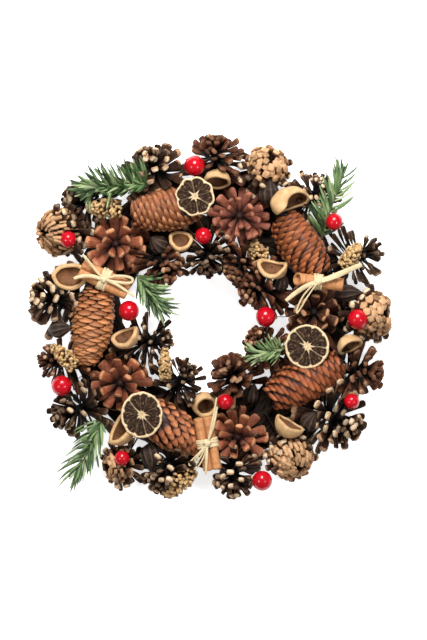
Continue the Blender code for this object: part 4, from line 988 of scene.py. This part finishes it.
# Strands of each tie: half width, then their points as seen from the knot, to which loops come back
RAFFIA = {
    "left": [
        (0.9, (-6, 6, 2), (-14, 16, 2.5), (-20.5, 23, 3), (-18.5, 22.5, 3.5), (-11, 13, 3), (0, 0, 1)),
        (2.0, (-12, 3, 1.5), (-21, 3, 1.5), (-29.5, 0.8, 0.5)),
        (
            1.4, (12, 3.2, 2), (23, 2.4, 1), (27.8, 0.2, 0), (26.6, -3, 0), (20, -3.6, 1), (8, -1.8, 1),
            (0, 0, 1),
        ),
        (1.5, (12, -5, 1), (22, -11.5, -2), (30, -17, -4)),
    ],
    "right": [
        (2.9, (15, 5, 2), (30, 11.5, 1.5), (42.5, 16.8, 1)),
        (2.4, (-10, -3.5, 1), (-20, -9.5, -1), (-31.5, -18.5, -4)),
        (0.9, (-9, -7, 0), (-17, -18, -3), (-20.8, -29, -5), (-19, -29, -5), (-10, -14, -1), (0, 0, 1)),
    ],
    "bottom": [
        (1.1, (4.5, 20, 3), (9, 45, 5)),
        (1.2, (6, 18, 3.5), (9.5, 36, 4.5)),
        (1.4, (-1, -14, 2), (-1.5, -30, 0)),
        (0.9, (-8, -9, 0), (-17.5, -19, -4), (-16, -21, -4), (-9, -12, 0), (0, 0, 1)),
        (0.8, (-4, -14, 0), (-11, -25, -4), (-12.5, -23.5, -4), (-6, -12, 0), (0, 0, 1)),
    ],
}
STRAND_HALF = 0.45
BAND_HALF = (1.25, 0.55)
KNOT_HALF = (3.9, 3.4, 2.4)
ABOVE_ALL = 140.0
UNDER = 16.0


def cinnamon_finish():
    """Bark: orange brown with long fibres and darker flecks."""
    f = Finish("cinnamon_bark")
    fibre = f.streaks(f.marks(), (2.0, 9.0, 1.0), 4.0, 5.0)
    cloud = f.noise(130.0, 4.0)
    colour = f.ramp(
        fibre, (0.25, (0.30, 0.11, 0.035)), (0.5, (0.50, 0.215, 0.075)), (0.8, (0.64, 0.33, 0.14))
    )
    colour = f.blend(f.spread(cloud, 0.35, 0.65, 0.35, 0.0), colour, (0.34, 0.13, 0.045))
    height = f.maths("ADD", fibre, f.times(f.noise(800.0), 0.5))
    return f.done(colour, f.spread(fibre, 0.3, 0.7, 0.78, 0.6), (height, 0.0006, 0.8))


def raffia_finish():
    """Palm fibre: straw with fine lines along the strand."""
    f = Finish("raffia_straw")
    line = f.streaks(f.marks(), (3.0, 14.0, 9.0), 3.0, 4.0)
    colour = f.ramp(line, (0.28, (0.44, 0.31, 0.15)), (0.5, (0.68, 0.54, 0.31)), (0.75, (0.80, 0.69, 0.46)))
    return f.done(colour, f.spread(line, 0.3, 0.7, 0.62, 0.45), (line, 0.0005, 0.7))


def quill(start, end, radius, tone, slant):
    """A rolled stick: the girth grows once round it and steps back at the seam; both mouths are sunk.

    The first mouth is cut slanting, so that it faces up by slant times the height on the stick.
    """
    length = np.linalg.norm(end - start)

    def bark(t, a):
        """The first and last sixths of t go down into the mouths, the rest along the outside."""
        outer = smooth(0.17, 0.175, t) * (1.0 - smooth(0.825, 0.83, t))
        roll = (a - 1.1 + 0.15 * np.sin(4.0 * t + tone)) % TURN / TURN
        girth = radius - BARK_THICK * (1.0 - outer)
        girth = girth * (0.925 + 0.075 * roll) + 0.10 * np.sin(3 * a + 9 * t)
        girth = girth * np.where((t < 0.001) | (t > 0.999), 0.0, 1.0)
        last = length - MOUTH_DEPTH * (t - 0.83) / 0.17
        reach = np.interp(t, (0.17, 0.83), (0.0, length))
        reach = np.where(t < 0.17, MOUTH_DEPTH * (1.0 - t / 0.17), np.where(t > 0.83, last, reach))
        reach = reach + slant * (radius + girth * np.sin(a)) * np.clip(1.0 - (t - 0.17) / 0.2, 0.0, 1.0)
        return turned(girth, a, reach), (t * 3.0, np.sin(a) + np.cos(2 * a) * 0.3, tone)

    return closed_form(60, 36, bark, frame_from(end - start), start)


def rest_over(path, thick):
    """Lifts the points of a strand that would lie under a solid so that they lie on it."""
    lifted = path.copy()
    for k, p in enumerate(path):
        hit = all_but_ties.ray_cast(Vector((p[0], p[1], ABOVE_ALL)), Vector((0, 0, -1)))[0]
        if hit is not None and hit.z - UNDER < p[2] < hit.z + thick:
            lifted[k, 2] = hit.z + thick
    height = lifted[:, 2]
    height[1:-1] = np.maximum(height[1:-1], (height[:-2] + height[1:-1] + height[2:]) / 3)
    return lifted


def lump(t, a):
    """A knot: a flat ball with three low bumps round it."""
    local = turned(KNOT_HALF[0] * arch(t), a, -KNOT_HALF[2] * np.cos(math.pi * t), KNOT_HALF[1] * arch(t))
    swell = 1.0 + 0.12 * np.sin(3 * a) * arch(t) + 0.06 * np.cos(7 * t + a)
    return local * swell[..., None], (a / ABOUT_TURN, t * 2, 0.0)


def cinnamon_and_ties():
    """Tied sticks: the sticks, strands wound round their middle, the knot, loops and tails."""
    bark, straw = cinnamon_finish(), raffia_finish()
    turn = np.linspace(0.0, TURN, 42)
    t = np.linspace(0.0, 1.0, 44)
    taper = 0.45 + 0.55 * arch(t * 0.85 + 0.1) ** 0.5
    for place, (start, end, radius, count, slant) in CINNAMON.items():
        node = "cinnamon_" + place
        z = middle_of(node)[2]
        start, end = np.array((*start, z)), np.array((*end, z))
        middle = (start + end) / 2
        along = unit(end - start)
        side = np.array((-along[1], along[0], 0.0))
        pitch = 2 * radius - 0.6
        shifts = [side * (k - (count - 1) / 2) * pitch for k in range(count)]
        sticks = [quill(start + by, end + by, radius, 0.3 + k, slant) for k, by in enumerate(shifts)]
        piece("sticks_" + place, sticks, bark, node)
        half_width = radius + pitch * (count - 1) / 2 + 1.0
        half_height = radius + 1.0
        forms = []
        for k, offset in enumerate(np.linspace(-3.6, 3.6, 4)):
            bulge = 0.35 * math.sin(k * 2.0)
            ring = (
                middle
                + side * ((half_width + bulge) * np.cos(turn))[:, None]
                + np.array(UP) * ((half_height + bulge) * np.sin(turn))[:, None]
                + along * (offset + 0.5 * np.sin(turn + k))[:, None]
            )
            outward = ring - middle - along * ((ring - middle) @ along)[:, None]
            forms.append(strip(ring, *BAND_HALF, 8, outward, 0.8, 0.2 * k))
        knot = middle + np.array((0, 0, half_height + 1.0))
        forms.append(closed_form(14, 20, lump, origin=knot))
        for k, (half, *route) in enumerate(RAFFIA[place]):
            path = rest_over(curve_through([knot, *(knot + np.array(route))], len(t)), 1.0)
            twist = np.stack([0.25 * np.sin(3 * t + k), 0.25 * np.cos(4 * t + k), t * 0 + 1.0], axis=1)
            forms.append(strip(path, half * taper, STRAND_HALF, 8, twist, 0.8, 0.25 * k))
        piece("raffia_" + place, forms, straw, "raffia_tie_" + place)


# Berries: place and radius; picks: their two berries and the radius of the wire along the ring
BERRIES = {
    "top": (-15.2, 148.0, 50.0, 10.1),
    "upper_left": (-139.0, 76.0, 52.0, 8.1),
    "top_inner": (-6.6, 79.4, 50.0, 8.1),
    "left": (-79.4, 6.1, 48.0, 10.0),
    "upper_right": (121.5, 93.1, 54.0, 8.3),
    "inner_right": (54.5, 0.2, 46.0, 9.8),
    "right": (144.6, -2.2, 52.0, 9.9),
    "lower_left": (-145.3, -67.3, 50.0, 10.0),
    "low_left": (-86.2, -138.3, 50.0, 7.4),
    "bottom_inner": (14.7, -82.9, 52.0, 7.6),
    "low_right": (138.7, -82.6, 50.0, 7.6),
    "bottom": (51.0, -160.4, 48.0, 9.9),
}
PICKS = {
    "top": ("top", "top_inner", 118.0),
    "left": ("upper_left", "left", 116.0),
    "right": ("upper_right", "right", 124.0),
    "inner": ("inner_right", "bottom_inner", 96.0),
    "lower_left": ("lower_left", "low_left", 118.0),
    "bottom": ("low_right", "bottom", 122.0),
}
PICK_WIRE_HALF = 0.4
# Heights of a pick's wire along the ring, at its bends and where it starts up
PICK_HEIGHTS = (16.6, 16.8, 18.0)


def berry_finish():
    """Red lacquer, barely uneven."""
    f = Finish("berry_lacquer")
    colour = f.ramp(f.noise(90.0, 2.0), (0.3, (0.38, 0.001, 0.006)), (0.7, (0.50, 0.002, 0.012)))
    coat = {"Coat Weight": 0.25, "Coat Roughness": 0.10}
    return f.done(colour, 0.22, (f.noise(240.0, 2.0), 0.0004, 0.25), 0.30, **coat)


def berries():
    """Round berries, each a ball with a small dimple where its wire comes in, and the picks' wires."""
    lacquer = berry_finish()
    wire = plain_finish("pick_wire_brown", (0.02, 0.012, 0.007), (0.05, 0.03, 0.018))
    axes = frame_from((0.3, -0.8, 0.5))

    def berry(t, a):
        """A ball of radius one, a little drawn in at its two poles."""
        size = 1.0 - 0.10 * bell(t, 0.05) - 0.04 * bell(1 - t, 0.05)
        return turned(arch(t), a, -np.cos(math.pi * t)) * size[..., None], (t, np.sin(a), 0.5)

    along, bend, start_up = PICK_HEIGHTS
    for place, (one, other, radius) in PICKS.items():
        name = "berry_pick_" + place
        ends = [BERRIES[one], BERRIES[other]]
        balls = [closed_form(26, 36, berry, axes * r, (x, y, z)) for x, y, z, r in ends]
        piece(name + "_berries", balls, lacquer, name)
        (x1, y1, z1, r1), (x2, y2, z2, r2) = ends
        start = math.atan2(y1, x1)
        arc = start + half_turn(math.atan2(y2, x2) - start) * np.linspace(0.0, 1.0, 40)
        down = np.linspace((x1, y1, z1 - r1 * 0.6), (x1, y1, start_up), 6)
        up = np.linspace((x2, y2, start_up), (x2, y2, z2 - r2 * 0.6), 6)
        route = np.array([*down, (x1, y1, bend), *turned(radius, arc, along), (x2, y2, bend), *up])
        form = strip(route, PICK_WIRE_HALF, PICK_WIRE_HALF, 6, (0.3, 0.4, 0.85))
        piece(name + "_wire", [form], wire, name)


# Sprigs: route of the stem, and sets of needles on the left (1) or the right (-1) of it: how many,
# length, lean from the stem, how far they stray from the flat, sideways curve, and how pale
SPRIGS = {
    "upper_left": (
        ((-58.8, 130.3, 50.0), (-90.0, 127.0, 53.0), (-110.0, 126.0, 52.0), (-121.0, 122.0, 50.0)),
        (-1, 80, 28.0, 1.38, 0.80, 0.12, 0.0),
        (1, 80, 15.0, 0.60, 0.7, 0.1, -0.12),
        (-1, 40, 16.0, 0.6, 0.9, 0.0, 0.05),
    ),
    "upper_right": (
        ((109.8, 76.4, 44.0), (114.7, 96.0, 52.0), (122.1, 116.6, 55.0), (130.3, 138.7, 52.0)),
        (1, 26, 28.0, 0.90, 0.25, 0.06, -0.1),
        (1, 26, 22.0, 0.60, 0.7, 0.08, -0.15),
        (-1, 11, 27.0, 1.00, 0.10, 0.26, -0.1),
    ),
    "left_inner": (
        ((-71.5, 42.1, 46.0), (-62.0, 26.0, 50.0), (-49.0, 8.0, 46.0)),
        (-1, 30, 24.0, 0.55, 0.50, 0.1, -0.15),
        (1, 16, 29.0, 0.85, 0.20, -0.14, 0.0),
        (1, 30, 20.0, 0.55, 0.8, 0.0, -0.15),
    ),
    "lower_left": (
        ((-105.3, -98.0, 44.0), (-114.7, -121.5, 49.0), (-122.0, -137.0, 49.0), (-130.9, -151.9, 46.0)),
        (-1, 12, 30.0, 1.00, 0.10, 0.30, 0.0),
        (1, 24, 29.0, 0.45, 0.4, 0.06, -0.05),
        (-1, 30, 18.0, 0.7, 0.9, 0.1, -0.15),
    ),
    "right_inner": (
        ((73.0, -30.5, 48.0), (58.4, -33.3, 54.0), (45.0, -35.5, 53.0)),
        (1, 26, 20.0, 0.80, 0.9, 0.30, 0.3),
        (-1, 20, 19.0, 0.9, 0.9, -0.25, 0.25),
    ),
}
NEEDLE_WIDTH = 2.7
NEEDLE_THICK = 1.4
STEM_HALF = 0.8


def needle_finish():
    """Greens from dark to silvery by the needle's own tone, brown at the root, with fine ribs."""
    f = Finish("needle_green")
    along, side, tone = f.marks()
    mix = f.maths("ADD", f.times(tone, 0.8), f.times(f.noise(120.0), 0.3))
    colour = f.ramp(
        mix, (0.2, (0.022, 0.048, 0.014)), (0.42, (0.068, 0.130, 0.042)), (0.66, (0.155, 0.235, 0.090)),
        (0.92, (0.36, 0.43, 0.22)),
    )
    colour = f.blend(f.spread(along, 0.0, 0.12, 0.6, 0.0), colour, (0.10, 0.09, 0.04))
    ribs = f.streaks((along, side, tone), (1.0, 6.0, 1.0), 5.0)
    return f.done(colour, 0.42, (ribs, 0.0003, 0.5), 0.35)


def needles(path, hand, count, length, leaning, stray, curve, paler):
    """One set of needles on a stem: flat and curved, leaning forward to one side and over it."""
    t = 0.03 + 0.97 * (np.arange(count) + 0.5 * rng.random(count)) / count
    at = np.minimum(t, 1.0) * (len(path) - 1.001)
    near = at.astype(int)
    root = path[near] + (path[near + 1] - path[near]) * (at - near)[:, None]
    ahead = unit(path[near + 1] - path[near])
    left = unit(np.cross(UP, ahead))
    up = np.cross(ahead, left)
    turn = rng.normal(0.0, stray, count)
    lean = leaning * (1.0 - 0.5 * t**4) + rng.normal(0.0, 0.20 * stray + 0.04, count)
    out = left * (hand * np.cos(turn))[:, None] + up * (np.abs(np.sin(turn)) * 0.8)[:, None]
    way = unit(ahead * np.cos(lean)[:, None] + unit(out) * np.sin(lean)[:, None])
    full = length * (0.80 + 0.25 * rng.random(count)) * (1.0 - 0.2 * t**4)
    side = unit(np.cross(way, up + 0.4 * rng.normal(0, 1, (count, 1)) * np.cross(way, up)))
    reach = free_length(root, way, side, 0.6, full, 0.3)
    tones = np.clip(rng.random(count) + paler, 0.0, 1.0)
    return scales(
        reach > 0.25 * full, root, side, way, reach, NEEDLE_WIDTH, NEEDLE_THICK,
        rng.normal(-0.04, 0.10, count), tones, blunt=0.50, corner=1.5, neck=0.75, sweep=hand * curve,
    )


def sprigs():
    """Fir sprigs: needles to both sides of a thin stem."""
    green = needle_finish()
    brown = plain_finish(
        "sprig_stem_brown", (0.045, 0.040, 0.018), (0.085, 0.085, 0.035), 0.7, 0.5, 500.0, 4.0
    )
    for place, (route, *sets) in SPRIGS.items():
        name = "sprig_" + place
        path = curve_through(route, 40)
        piece(name + "_needles", [needles(path, *one) for one in sets], green, name)
        piece(name + "_stem", [strip(path, STEM_HALF, STEM_HALF, 7)], brown, name)


# The vine ring: how many vines, radius of its middle line, half its section's width, middle and
# half of its height, and the shares of the section at which the vines run
VINES = 40
RING_RADIUS, RING_HALF_WIDTH = 112.0, 27.0
RING_MIDDLE, RING_HALF_HEIGHT = 7.4, 4.8
VINE_SHARES = (0.25, 0.55, 0.80, 0.95)


def vines():
    """The ring: vines wound round a ring line, each at its own share of the ring's flat section, near black
    as painted shade.
    """
    f = Finish("vine_bark_painted_shade")
    fibre = f.streaks(f.marks(), (60.0, 4.0, 30.0), 3.0, 5.0)
    # The near-black browns are painted shade, the deep shade between the pieces lying over the ring; the
    # fibres along the vines are bark.
    colour = f.ramp(
        fibre, (0.25, (0.006, 0.004, 0.003)), (0.55, (0.022, 0.012, 0.008)), (0.8, (0.060, 0.034, 0.020))
    )
    finish = f.done(colour, 0.8, (fibre, 0.0010, 0.9), 0.2)
    forms = []
    around = np.linspace(0.0, TURN, 150)
    for k in range(VINES):
        share = VINE_SHARES[k % 4]
        turn = k * GOLDEN_ANGLE + (2 + k % 3) * around
        thick = 3.0 + 0.5 * math.sin(k * 1.7)
        height = np.maximum(RING_MIDDLE + RING_HALF_HEIGHT * share * np.sin(turn), thick + 0.1)
        path = turned(RING_RADIUS + RING_HALF_WIDTH * share * np.cos(turn), around, height)
        forms.append(strip(path, thick, thick, 8, UP, 1.0, k / VINES))
    piece("vines", forms, finish, "vine_ring")


rosettes()
small_cones()
long_cones()
golden_cones()
shell_cups()
pods()
citrus_slices()
cinnamon_and_ties()
berries()
sprigs()
vines()


# Floor, light and camera
WHITE = (1.0, 1.0, 1.0, 1.0)
# Square soft lights: direction and distance from the wreath's middle, size in metres, power in watts
LAMPS = {
    "key_light": ((0.0, 0.62, 0.78), 1.3, 0.50, 26.0),
    "left_light": ((-0.57, -0.19, 0.80), 1.4, 0.20, 4.5),
    "right_light": ((0.57, -0.19, 0.80), 1.4, 0.20, 4.5),
}
# Metres from the camera to the view plane, place that it is over, height of the photograph in
# pixels, millimetres that a pixel covers on the view plane, and height of that plane
CAMERA_AWAY = 3.0
CAMERA_OVER = (3.43, -2.94)
PHOTO_HEIGHT = 640
PHOTO_PIXEL = 0.98
VIEW_PLANE = 45.0


def floor():
    """A pale floor that glows a little, as a white table under a wide soft light does."""
    bpy.ops.mesh.primitive_plane_add(size=30.0, location=(0.0, 0.0, -0.001))
    plane = bpy.context.object
    plane.name = "pale_floor"
    f = Finish("pale_floor")
    colour = f.ramp(f.noise(3.0), (0.3, (0.90, 0.90, 0.90)), (0.7, (0.93, 0.93, 0.93)))
    glow = {"Emission Color": WHITE, "Emission Strength": 0.70}
    plane.data.materials.append(f.done(colour, 0.9, **glow))


def lamps():
    """The soft lights, each turned to the wreath's middle."""
    for name, (toward, distance, size, power) in LAMPS.items():
        light = bpy.data.lights.new(name, "AREA")
        light.shape = "SQUARE"
        light.size = size
        light.energy = power
        way = Vector(unit(toward))
        thing = bpy.data.objects.new(name, light)
        thing.location = way * distance
        thing.rotation_euler = way.to_track_quat("Z", "Y").to_euler()
        bpy.context.scene.collection.objects.link(thing)
    world = bpy.data.worlds.new("studio")
    world.use_nodes = True
    background = world.node_tree.nodes["Background"]
    background.inputs["Color"].default_value = WHITE
    background.inputs["Strength"].default_value = 0.22
    bpy.context.scene.world = world
    bpy.context.scene.view_settings.view_transform = "Standard"


def camera():
    """Looks straight down from far away; the sensor spans the photograph's height on the view plane."""
    data = bpy.data.cameras.new("camera")
    data.sensor_width = 36.0
    data.sensor_fit = "AUTO"
    data.lens = data.sensor_width * CAMERA_AWAY / (PHOTO_HEIGHT * PHOTO_PIXEL * MM)
    data.clip_end = 50.0
    thing = bpy.data.objects.new("camera", data)
    x, y = (over + shift for over, shift in zip(CAMERA_OVER, SHIFT))
    thing.location = (x * MM, y * MM, CAMERA_AWAY + VIEW_PLANE * MM)
    bpy.context.scene.collection.objects.link(thing)
    bpy.context.scene.camera = thing


floor()
lamps()
camera()
